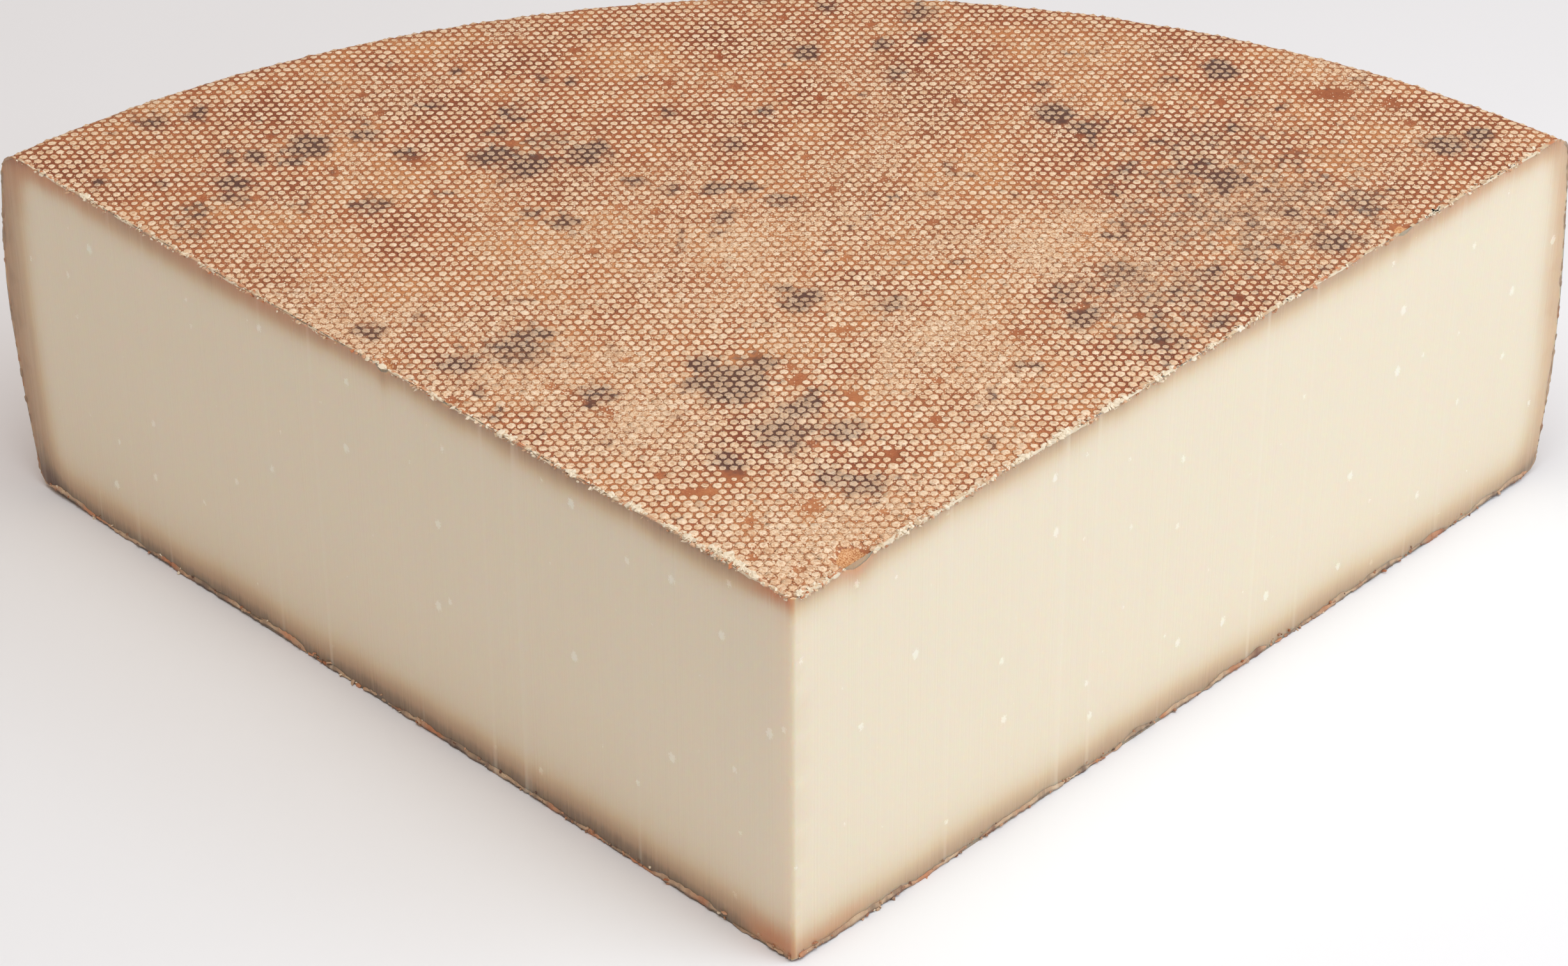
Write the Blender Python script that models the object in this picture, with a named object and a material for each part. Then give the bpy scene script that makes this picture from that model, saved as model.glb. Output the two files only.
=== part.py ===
"""A quarter of a large, flat alpine cheese wheel, cut with a wire from the middle outwards.

The half section of the wheel is drawn once and spun a quarter turn round the wheel's axis.
The quarter lies on its base, with the sharp corner between the two cut faces towards -Y and
the middle of the round heel towards +Y. The origin is the centre of the bounding box, on the
base. Units are metres, +Z up.
"""

import math

import bmesh
import bpy
from mathutils import Matrix, Vector

WHEEL_HEIGHT = 0.111  # at the wheel's axis
TOP_CROWN = 0.001  # how much higher the axis is than the shoulder
SHOULDER_REACH = 0.300  # radius of the heel where it meets the shoulder's rounding
FOOT_REACH = 0.299  # radius of the heel where it meets the foot's rounding
HEEL_BULGE = 0.0044  # how far the heel stands out halfway up
SHOULDER_ROUNDING = 0.008  # between the top and the heel
FOOT_ROUNDING = 0.005  # between the heel and the base
QUARTER = math.radians(90.0)

SPIN_STEPS = 60  # even, so that one column of points lies on the bisector
TOP_STEPS = 8
HEEL_STEPS = 12
ROUNDING_STEPS = 7
WELD = 0.00001
SHARP_EDGE = math.radians(30.0)

PASTE_COLOUR = (0.82, 0.72, 0.55, 1.0)
PASTE_ROUGHNESS = 0.5


def clear_scene():
    for old in list(bpy.data.objects):
        bpy.data.objects.remove(old)


def top_height(reach):
    """Height of the gently domed top at this distance from the wheel's axis."""
    return WHEEL_HEIGHT - TOP_CROWN * (reach / SHOULDER_REACH) ** 2


def heel_reach(share):
    """Radius of the heel, from share 0 above the foot to share 1 below the shoulder."""
    leaning = FOOT_REACH + (SHOULDER_REACH - FOOT_REACH) * share
    return leaning + HEEL_BULGE * 4.0 * share * (1.0 - share)


def rounding(reach, height, size, start):
    """Points on a quarter circle about (reach, height), turning down from start, ends left out."""
    points = []
    for step in range(1, ROUNDING_STEPS):
        angle = start - math.pi / 2 * step / ROUNDING_STEPS
        points.append((reach + size * math.cos(angle), height + size * math.sin(angle)))
    return points


def half_section():
    """The outline as (reach, height): out along the top, down the heel, back to the base."""
    top_edge = SHOULDER_REACH - SHOULDER_ROUNDING
    base_edge = FOOT_REACH - FOOT_ROUNDING
    shoulder_height = top_height(top_edge) - SHOULDER_ROUNDING
    top = []
    for step in range(TOP_STEPS + 1):
        reach = top_edge * step / TOP_STEPS
        top.append((reach, top_height(reach)))
    heel = []
    for step in range(HEEL_STEPS, -1, -1):
        share = step / HEEL_STEPS
        height = FOOT_ROUNDING + (shoulder_height - FOOT_ROUNDING) * share
        heel.append((heel_reach(share), height))
    shoulder = rounding(top_edge, shoulder_height, SHOULDER_ROUNDING, math.pi / 2)
    foot = rounding(base_edge, FOOT_ROUNDING, FOOT_ROUNDING, 0.0)
    base = [(base_edge, 0.0), (0.0, 0.0)]
    return top + shoulder + heel + foot + base


def spin_quarter():
    """A closed mesh: the half section at the first cut, spun round the axis to the second."""
    solid = bmesh.new()
    first_cut = Vector((math.sin(QUARTER / 2), math.cos(QUARTER / 2), 0.0))
    corners = []
    for reach, height in half_section():
        corners.append(solid.verts.new(first_cut * reach + Vector((0.0, 0.0, height))))
    cut_face = solid.faces.new(corners)
    bmesh.ops.spin(
        solid,
        geom=[*corners, *cut_face.edges, cut_face],
        cent=(0.0, 0.0, 0.0),
        axis=(0.0, 0.0, 1.0),
        angle=QUARTER,
        steps=SPIN_STEPS,
    )
    bmesh.ops.remove_doubles(solid, verts=solid.verts, dist=WELD)
    bmesh.ops.recalc_face_normals(solid, faces=solid.faces)
    mesh = bpy.data.meshes.new("cheese_wheel_quarter")
    solid.to_mesh(mesh)
    solid.free()
    return mesh


def cheese_material():
    material = bpy.data.materials.new("alpine_cheese")
    material.use_nodes = True
    shader = material.node_tree.nodes["Principled BSDF"]
    shader.inputs["Base Color"].default_value = PASTE_COLOUR
    shader.inputs["Roughness"].default_value = PASTE_ROUGHNESS
    return material


def main():
    clear_scene()
    mesh = spin_quarter()
    depth = max(vertex.co.y for vertex in mesh.vertices)
    mesh.transform(Matrix.Translation((0.0, -depth / 2, 0.0)))
    mesh.shade_smooth()
    mesh.set_sharp_from_angle(angle=SHARP_EDGE)
    mesh.materials.append(cheese_material())
    quarter = bpy.data.objects.new("cheese_wheel_quarter", mesh)
    bpy.context.scene.collection.objects.link(quarter)


main()
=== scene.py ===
"""Looks of a quarter of a large alpine cheese wheel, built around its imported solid.

The wheel was pressed in a dimpled mat and ripened on a board, which left rows of pale dots on
its terracotta rind, and a wire cut it into quarters. The whole quarter is one mesh: the mat's
pattern is laid out flat, wrapped over the top and the heel, and joined to the underside and the
two cut faces. A thin burr of paste and loose crumbs stand along the cuts.
"""

import logging
import math
from collections.abc import Callable
from dataclasses import dataclass, field
from enum import Enum
from functools import partial
from typing import Any

import bmesh
import bpy
import numpy as np
from mathutils import Euler, Matrix, Vector
from mathutils.geometry import delaunay_2d_cdt


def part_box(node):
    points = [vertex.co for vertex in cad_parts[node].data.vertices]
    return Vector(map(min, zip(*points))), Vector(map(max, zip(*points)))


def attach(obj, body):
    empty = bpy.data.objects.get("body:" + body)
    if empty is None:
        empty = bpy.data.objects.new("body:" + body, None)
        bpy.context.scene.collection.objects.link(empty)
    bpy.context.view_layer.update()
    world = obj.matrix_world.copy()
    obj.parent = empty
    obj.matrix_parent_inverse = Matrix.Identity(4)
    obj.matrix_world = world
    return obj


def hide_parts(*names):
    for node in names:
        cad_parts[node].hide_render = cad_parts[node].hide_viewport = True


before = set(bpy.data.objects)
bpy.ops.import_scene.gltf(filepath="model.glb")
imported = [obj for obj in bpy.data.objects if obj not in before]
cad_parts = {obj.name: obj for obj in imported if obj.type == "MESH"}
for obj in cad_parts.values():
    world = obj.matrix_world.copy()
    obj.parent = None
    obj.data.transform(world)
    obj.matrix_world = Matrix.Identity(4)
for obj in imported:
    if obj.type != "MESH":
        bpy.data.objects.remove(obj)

CAD_NODE = "cheese_wheel_quarter"
BODY = "root"
MM = 0.001  # one millimetre in metres

DOT_PLACE = "dot_place"  # along the mat, across it, and the dot's radius, in mm from its middle
DOT_DRAW = "dot_draw"  # tone, ring strength and presence of the dot
RIND_STATE = "rind_state"  # mould, dust and bareness
CUT_STATE = "cut_state"  # browning under the rind, warm stain, distance from the tip in mm

ATTRIBUTE = "ShaderNodeAttribute"
BUMP = "ShaderNodeBump"
CELLS = "ShaderNodeTexVoronoi"
COLOURS = "ShaderNodeValToRGB"
COORDINATES = "ShaderNodeTexCoord"
JOIN = "ShaderNodeCombineXYZ"
MATHS = "ShaderNodeMath"
MIX = "ShaderNodeMix"
NOISE = "ShaderNodeTexNoise"
RANGE = "ShaderNodeMapRange"
SPLIT = "ShaderNodeSeparateXYZ"
VECTOR = "ShaderNodeVectorMath"

LOG = logging.getLogger("cheese")

Points = np.ndarray  # one point a row
Values = np.ndarray  # one number for each point
Signal = bpy.types.Node | bpy.types.NodeSocket  # a node, or one of its outputs
Adder = Callable[..., bpy.types.Node]  # add_node with one material's tree

DIAGONAL = math.sqrt(0.5)  # sine and cosine of the 45 degrees between a cut and the Y axis
NICK_RAGGED = 0.5  # mm that a nick's outline strays


def linear(colour: str) -> tuple[float, float, float, float]:
    """Turns an sRGB hex colour into Blender's linear colour.

    Args:
        colour: The colour as "#RRGGBB".

    Returns:
        Linear red, green, blue and an alpha of 1.
    """
    channels = [int(colour[start : start + 2], 16) / 255.0 for start in (1, 3, 5)]
    flat = [c / 12.92 if c <= 0.04045 else ((c + 0.055) / 1.055) ** 2.4 for c in channels]
    return (flat[0], flat[1], flat[2], 1.0)


def add_node(
    tree: bpy.types.NodeTree, kind: str, inputs: dict[Any, Any] | None = None, **settings: Any
) -> bpy.types.Node:
    """Adds a node to a material with its settings and links.

    Args:
        tree: The material's node tree.
        kind: The node's type name in Blender.
        inputs: Values by socket name or number. A node or an output socket is linked, a hex
            colour is made linear, and all else is set as it is.
        **settings: Properties of the node itself; stops, on a colour ramp, are its colours by
            position.

    Returns:
        The new node.
    """
    node = tree.nodes.new(kind)
    stops = settings.pop("stops", ())
    for name, value in settings.items():
        setattr(node, name, value)
    for socket, value in (inputs or {}).items():
        if isinstance(value, bpy.types.Node):
            value = next(output for output in value.outputs if output.enabled)
        if isinstance(value, bpy.types.NodeSocket):
            tree.links.new(value, node.inputs[socket])
        else:
            value = linear(value) if isinstance(value, str) else value
            node.inputs[socket].default_value = value
    for number, (position, colour) in enumerate(stops):
        elements = node.color_ramp.elements
        element = elements[number] if number < 2 else elements.new(1.0)
        element.position = position
        element.color = linear(colour)
    return node


def new_material(name: str) -> tuple[bpy.types.Material, bpy.types.NodeTree, bpy.types.Node]:
    """Makes an empty material with nodes.

    Args:
        name: What the finish is called.

    Returns:
        The material, its node tree and its main shader.
    """
    material = bpy.data.materials.new(name)
    material.use_nodes = True
    return material, material.node_tree, material.node_tree.nodes["Principled BSDF"]


def fade(distance: Values, reach: float, power: float) -> Values:
    """A smooth fall from 1 at no distance towards 0 well past the reach."""
    return np.exp(-((np.maximum(distance, 0.0) / reach) ** power))


def smooth_step(low: float, high: float, value: Values) -> Values:
    """Rises smoothly from 0 at low to 1 at high."""
    share = np.clip((value - low) / (high - low), 0.0, 1.0)
    return share * share * (3.0 - 2.0 * share)


@dataclass(frozen=True)
class Ripple:
    """Smooth random ups and downs over a plane, between -1 and 1, the same for the same seed."""

    wavelength: float
    seed: int
    cells: int = 256

    def at(self, along: Values, across: Values) -> Values:
        """Reads the ripple.

        Args:
            along: First coordinates, in mm.
            across: Second coordinates, in mm.

        Returns:
            One value for each point.
        """
        heights = np.random.default_rng(self.seed).uniform(-1.0, 1.0, (self.cells, self.cells))
        u = np.asarray(along) / self.wavelength
        v = np.asarray(across) / self.wavelength
        i = np.floor(u).astype(int)
        j = np.floor(v).astype(int)
        s = smooth_step(0.0, 1.0, u - i)
        t = smooth_step(0.0, 1.0, v - j)
        i0, i1 = i % self.cells, (i + 1) % self.cells
        j0, j1 = j % self.cells, (j + 1) % self.cells
        near = heights[i0, j0] * (1 - s) + heights[i1, j0] * s
        far = heights[i0, j1] * (1 - s) + heights[i1, j1] * s
        return near * (1 - t) + far * t


class Side(Enum):
    """The two cut faces, by the sign of their X."""

    LEFT = -1
    RIGHT = 1


class Patch(Enum):
    """The parts of the quarter's surface, in the order of their material slots."""

    RIND = 0
    UNDERSIDE = 1
    CUT = 2


@dataclass(frozen=True)
class Blotch:
    """A soft-edged spot on a surface, in mm."""

    x: float
    y: float
    size: float
    strength: float = 1.0
    stretch: float = 1.0  # how much longer it is in y than in x

    def cover(self, x: Values, y: Values) -> Values:
        """How strongly the spot covers each point."""
        away = ((x - self.x) ** 2 + ((y - self.y) / self.stretch) ** 2) / self.size**2
        return self.strength * np.exp(-(away**1.15))


def blots(*rows: tuple[float, ...]) -> tuple[Blotch, ...]:
    """Makes spots from rows of place, size and, where they are not usual, strength and stretch."""
    return tuple(Blotch(*row) for row in rows)


# Where the rind carries grey-brown mould: mm right of the middle, and out from the wheel's axis.
# The last few are broad, faint hazes.
MOULD = blots(
    (3, 130, 6.5, 1.0), (-14, 92, 9.5, 1.15), (-8, 100, 6, 0.8), (-22, 101, 3.6, 1.6),
    (-24, 92, 3.0, 1.4), (2, 80, 6, 1.0), (-2, 69, 8, 1.0), (13, 70, 6.5, 0.9),
    (-15, 57, 5.5, 0.9), (18, 45, 5, 0.9), (10, 49, 4.5, 0.8), (-69, 109, 10, 0.85),
    (-83, 102, 6.5, 0.85), (-62, 117, 6, 0.6), (-47, 87, 6, 0.8), (-106, 118, 4.5, 0.8),
    (-94, 124, 4, 0.55), (-78, 206, 7, 0.95), (-69, 200, 8, 0.95), (-53, 205, 8, 0.85),
    (-65, 213, 8, 0.6), (-73, 231, 7, 0.5), (-78, 219, 5, 0.7), (-128, 212, 7, 1.0),
    (-133, 204, 5, 0.7), (-147, 194, 6, 0.8), (-142, 206, 4, 0.9), (-151, 208, 4, 0.7),
    (-146, 186, 4.5, 0.7), (-172, 226, 6, 0.75), (-161, 229, 4, 0.7), (-183, 193, 3, 0.9),
    (-165, 192, 3, 0.8), (-156, 178, 8, 0.6), (-154, 167, 4, 0.7), (-110, 181, 5.5, 0.7, 1.3),
    (-114, 217, 4.5, 0.8), (-102, 208, 4, 0.7), (-96, 234, 4, 0.8), (-91, 252, 3, 0.8),
    (-67, 248, 2.6, 0.8), (-58, 247, 3, 0.8), (-31, 228, 4, 0.7), (-5, 227, 4.5, 0.7),
    (-15, 210, 5, 0.6), (-18, 187, 4, 1.1), (-11, 187, 4, 0.9), (-29, 188, 4, 0.7),
    (-39, 191, 4, 0.8), (-1, 180, 4.5, 0.8), (-16, 172, 4, 0.8), (-58, 171, 5.5, 0.8),
    (-67, 175, 4, 0.7), (-17, 164, 2.8, 0.8), (6, 261, 4.5, 1.0), (28, 265, 4, 0.9),
    (39, 269, 4.5, 0.8), (30, 248, 5, 0.7, 1.5), (38, 283, 6, 0.8), (13, 288, 4, 0.8),
    (120, 248, 4.8, 1.5), (73, 224, 6.5, 1.0), (82, 218, 7, 0.8), (71, 240, 4, 0.8),
    (98, 225, 4, 0.7), (135, 226, 3, 0.8), (106, 242, 3, 0.8), (177, 204, 7, 1.0),
    (186, 210, 4.5, 1.0), (109, 195, 9, 0.75), (91, 193, 9, 0.55), (114, 212, 8, 0.5),
    (121, 171, 11, 0.55), (138, 184, 9, 0.55), (151, 175, 10, 0.65), (142, 156, 9, 0.75),
    (121, 156, 8, 0.6), (104, 138, 11, 0.6), (86, 141, 11, 0.6), (71, 132, 8, 0.6),
    (75, 120, 6, 0.85), (93, 111, 11, 0.7), (108, 118, 7, 0.7), (26, 128, 8, 0.6),
    (60, 98, 4, 0.8), (118, 178, 46, 0.50), (95, 130, 35, 0.44), (-70, 100, 22, 0.22),
    (-5, 78, 26, 0.25), (-150, 198, 26, 0.25),
)

# Where the dots never formed or rubbed off, so that smooth terracotta shows.
BARE = blots(
    (14, 115, 3.2), (-9, 105, 2.6), (16, 85, 3.4), (2, 93, 2.6), (-22, 45.5, 5.6, 1.0, 0.5),
    (-45, 79, 2.8), (-51, 84, 2.4), (-14, 52, 3.0), (24, 60, 2.6), (-58, 92, 2.4), (4, 37, 3.2),
    (-9, 31, 2.4), (36, 75, 2.4), (58, 112, 2.6), (150, 233, 7.0, 0.9, 0.5),
    (165, 229, 5.0, 0.9, 0.5), (130, 158, 3.0), (-100, 205, 3.0, 0.8),
)

# Where pale flakes lie in the grooves.
DUST = blots(
    (-112, 124, 22, 0.9), (-60, 100, 26, 0.8), (-35, 78, 22, 0.8), (35, 105, 24, 0.8),
    (8, 20, 26, 1.0), (70, 155, 38, 0.7), (-20, 150, 45, 0.55), (130, 170, 32, 0.6),
    (40, 200, 45, 0.35), (155, 240, 16, 0.5), (-60, 172, 25, 0.4), (-150, 160, 20, 0.4),
)

# Nicks in the top's edges; their strength is a depth in mm.
NICKS = blots(
    (14.6, 17.0, 4.4, 2.0), (-101.0, 102.0, 2.4, 1.6), (160.0, 161.5, 3.0, 1.2),
    (-83.5, 85.0, 2.2, 0.9),
)

# Clumps of smeared paste on the top's edges: mm out from the tip, mm in from the cut, their size
# and, as their strength, their number of flakes.
CLUMPS = {
    Side.LEFT: blots(
        (14, 0.6, 2.6, 26), (20, 1.4, 3.0, 70), (26, 1.2, 2.6, 60), (34, 0.5, 2.4, 34),
        (40, 0.8, 1.8, 24), (52, 0.5, 3.0, 40), (60, 0.4, 1.6, 16), (74, 0.3, 3.0, 24),
        (96, 0.4, 2.0, 18), (143, 0.2, 1.8, 18), (262, 0.4, 5.0, 30),
    ),
    Side.RIGHT: blots(
        (2, 0.8, 1.4, 22), (36, 0.3, 2.0, 16), (78, 0.3, 4.0, 40), (92, 0.3, 5.0, 46),
        (112, 0.2, 5.0, 50), (131, 0.3, 4.0, 36), (148, 0.3, 2.0, 18), (160, 0.3, 2.0, 18),
        (180, 0.3, 3.0, 24), (239, 0.2, 4.0, 20),
    ),
}

WARM_LIGHTENING = 0.42  # share of the browning that a full warm stain takes away

# Warm stains on the cut faces: mm out from the tip, and height.
WARM = {
    Side.LEFT: blots(
        (6, 105, 8, 1.2, 1.1), (278, 103, 22, 0.7, 0.4), (7, 4, 9, 0.9, 0.7),
        (200, 107, 40, 0.45, 0.1),
    ),
    Side.RIGHT: blots(
        (20, 109, 6, 1.0, 0.8), (262, 104, 26, 0.65, 0.3), (290, 88, 9, 0.7, 2.2),
        (12, 3, 14, 0.7, 0.3), (294, 52, 6, 0.45, 4.0),
    ),
}


def cover_all(blotches: tuple[Blotch, ...], x: Values, y: Values, ragged: float) -> Values:
    """The strongest cover of any of the spots at each point, with ragged outlines.

    Args:
        blotches: The spots.
        x: First coordinates, in mm.
        y: Second coordinates, in mm.
        ragged: How far an outline strays from round, in mm.

    Returns:
        The cover for each point, from 0 up.
    """
    stray_x = x + ragged * (Ripple(6.0, 11).at(x, y) + 0.6 * Ripple(2.6, 12).at(x, y))
    stray_y = y + ragged * (Ripple(6.0, 13).at(x, y) + 0.6 * Ripple(2.6, 14).at(x, y))
    cover = np.zeros(np.shape(x))
    for blotch in blotches:
        cover = np.maximum(cover, blotch.cover(stray_x, stray_y))
    return cover


@dataclass(frozen=True)
class WheelSkin:
    """The wheel's outer skin, in mm from its axis and its base, and how the mat wraps over it."""

    height: float
    belly: float  # radius where the heel stands out most
    top_slack: float = 1.25  # how far the middle of the top lies below the highest place
    top_tilt: float = 1.1  # how far each side of the top rises or sinks
    tilt_reach: float = 130.0
    shoulder_reach: float = 300.1
    shoulder_rounding: float = 8.0
    foot_reach_left: float = 297.6
    foot_reach_right: float = 299.4
    foot_rounding: float = 4.5
    foot_rise: float = 1.0  # how far the base lifts towards the foot
    rise_width: float = 26.0
    heel_stretch: float = 1.35  # how much the mat's pattern is drawn out down the heel

    @property
    def top_edge(self) -> float:
        """Radius of the top's flat part."""
        return self.shoulder_reach - self.shoulder_rounding

    @property
    def shoulder_length(self) -> float:
        """Length round the shoulder, down the section."""
        return self.shoulder_rounding * math.pi / 2

    @property
    def heel_length(self) -> float:
        """Length of the heel between the two roundings."""
        return self.height - self.top_slack - self.shoulder_rounding - self.foot_rounding

    @property
    def foot_length(self) -> float:
        """Length round the foot."""
        return self.foot_rounding * math.pi / 2

    @property
    def mat_end(self) -> float:
        """Radius on the flat mat that comes to lie at the end of the foot."""
        down = self.shoulder_length + self.heel_length + self.foot_length
        return self.top_edge + down / self.heel_stretch

    def top_height(self, x: Values, y: Values) -> Values:
        """The height of the top, which is a little higher on the right and gently uneven.

        Args:
            x: Places to the right of the wheel's axis, in mm.
            y: Places out from the wheel's axis, in mm.

        Returns:
            Heights above the board, in mm.
        """
        uneven = 0.22 * Ripple(46.0, 21).at(x, y) + 0.12 * Ripple(17.0, 22).at(x, y)
        tip_sag = 0.5 * np.exp(-((x**2 + y**2) / 26.0**2))
        level = self.height - self.top_slack + self.top_tilt * np.tanh(x / self.tilt_reach)
        return level + uneven - tip_sag

    def heel_reach(self, height: Values, bearing: Values) -> Values:
        """The radius of the heel, which bulges and is narrower at the foot.

        Args:
            height: Heights above the board, in mm.
            bearing: Bearings from the middle of the quarter, in radians.

        Returns:
            Radii, in mm.
        """
        turn = 0.5 + 0.5 * np.sin(2.0 * bearing)
        foot = self.foot_reach_left + (self.foot_reach_right - self.foot_reach_left) * turn
        share = np.clip(height / (self.height - self.shoulder_rounding), 0.0, 1.0)
        leaning = foot + (self.shoulder_reach - foot) * share
        bulge = self.belly - 0.5 * (self.shoulder_reach + foot)
        crest = 0.60 - 0.2 * turn  # share of the height where the belly is
        lobe = np.where(share < crest, share / crest, (1 - share) / (1 - crest))
        return leaning + bulge * np.sin(0.5 * math.pi * lobe) ** 1.2

    def base_rise(self, reach: Values) -> Values:
        """How far the base stands above the board at this distance from the axis."""
        edge = self.foot_reach_left - self.foot_rounding
        return self.foot_rise * smooth_step(edge - self.rise_width, edge, reach)

    def lower_edge(self, side: Side, out: Values) -> Values:
        """The height of a cut face's worn lower edge.

        Args:
            side: The cut face.
            out: Distances from the wheel's axis, in mm.

        Returns:
            Heights above the board, in mm.
        """
        coarse = Ripple(9.0, 40 + side.value).at(out, np.zeros_like(out))
        fine = Ripple(3.1, 50 + side.value).at(out, np.zeros_like(out))
        return np.maximum(0.5 + 0.45 * coarse + 0.2 * fine, 0.0) + self.base_rise(out)

    def wrap(self, x: Values, y: Values, lift: Values) -> Points:
        """Lays the flat mat's points over the wheel.

        Args:
            x: Places on the flat mat, to the right of the wheel's axis.
            y: Places on the flat mat, out from the wheel's axis.
            lift: How far each point stands out from the skin.

        Returns:
            One point a row, in mm, with the axis at x = 0 and y = 0.
        """
        spread = np.hypot(x, y)
        bearing = np.arctan2(x, y)
        down = np.maximum(spread - self.top_edge, 0.0) * self.heel_stretch
        rim = self.top_edge / np.maximum(spread, self.top_edge)
        crown = self.top_height(x * rim, y * rim)

        bend = np.clip(down / self.shoulder_rounding, 0.0, math.pi / 2)
        reach = np.minimum(spread, self.top_edge) + self.shoulder_rounding * np.sin(bend)
        height = crown - self.shoulder_rounding * (1.0 - np.cos(bend))
        lean = bend  # angle of the outward direction from straight up

        low = self.foot_rounding + self.foot_rise
        share = np.clip((down - self.shoulder_length) / self.heel_length, 0.0, 1.0)
        on_heel = down > self.shoulder_length
        start = crown - self.shoulder_rounding
        heel_height = start + (low - start) * share
        height = np.where(on_heel, heel_height, height)
        at_start = self.heel_reach(start, bearing)
        reach = np.where(
            on_heel, self.heel_reach(heel_height, bearing) + (reach - at_start) * (1 - share), reach
        )

        past = np.clip((down - self.shoulder_length - self.heel_length) / self.foot_rounding, 0, 2)
        past = np.minimum(past, math.pi / 2)
        foot_reach = reach - self.foot_rounding * (1.0 - np.cos(past))
        reach = np.where(past > 0, foot_reach, reach)
        height = np.where(past > 0, low - self.foot_rounding * np.sin(past), height)
        lean = lean + past

        reach = reach + lift * np.sin(lean)
        height = height + lift * np.cos(lean)
        return np.column_stack([reach * np.sin(bearing), reach * np.cos(bearing), height])


@dataclass
class FlatMat:
    """The mat's pattern as a flat mesh, in mm, and the dots that its faces belong to."""

    points: Points  # x and y
    lift: Values  # how far each point stands out of the skin
    faces: list[list[int]]
    cell: Values  # the dot that each face belongs to
    centres: Points  # where each dot's middle is
    radii: Values
    presence: Values  # 1 for a whole dot, 0 for a missing one


@dataclass(frozen=True)
class RindWear:
    """What ripening did to the rind: mould, dusty flakes and bare places."""

    mould_ragged: float = 1.5  # mm that an outline strays, for each kind of spot
    dust_ragged: float = 6.0
    bare_ragged: float = 1.5
    freckle_size: float = 5.5  # mm between small mould freckles
    freckle_start: float = 0.62  # the higher, the fewer freckles
    patch_size: float = 13.0  # mm between small dust patches
    lip_height: float = 1.3
    torn_grain: float = 1.2  # mm between the bumps in a nick

    def mould(self, x: Values, y: Values) -> Values:
        """How mouldy the rind is.

        Args:
            x: Places on the flat mat, to the right of the wheel's axis.
            y: Places on the flat mat, out from the wheel's axis.

        Returns:
            0 for clean rind, up to 1.3 for thick mould.
        """
        freckles = Ripple(self.freckle_size, 31).at(x, y) - self.freckle_start
        freckles = np.clip(freckles, 0.0, 1.0) * 1.6
        return np.clip(cover_all(MOULD, x, y, self.mould_ragged) + freckles, 0.0, 1.3)

    def dust(self, x: Values, y: Values) -> Values:
        """How dusty each place on the flat mat is."""
        patches = 0.35 * Ripple(self.patch_size, 32).at(x, y)
        return np.clip(cover_all(DUST, x, y, self.dust_ragged) + patches, 0.0, 1.0)

    def bare(self, x: Values, y: Values) -> Values:
        """How bare of dots each place on the flat mat is, and past 1 how far torn open."""
        bare = np.clip(cover_all(BARE + NICKS, x, y, self.bare_ragged), 0.0, 1.0)
        return bare + smooth_step(0.45, 1.0, cover_all(NICKS, x, y, NICK_RAGGED))

    def nick(self, x: Values, y: Values) -> Values:
        """How deep the rind is nicked, with a torn lip round each nick.

        Args:
            x: Places on the flat mat, to the right of the wheel's axis.
            y: Places on the flat mat, out from the wheel's axis.

        Returns:
            Depths, in mm.
        """
        deep = cover_all(NICKS, x, y, NICK_RAGGED)
        lip = self.lip_height * deep * (1.0 - np.clip(deep, 0.0, 1.0))
        return deep - lip - 0.15 * deep * Ripple(self.torn_grain, 33).at(x, y)


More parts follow.
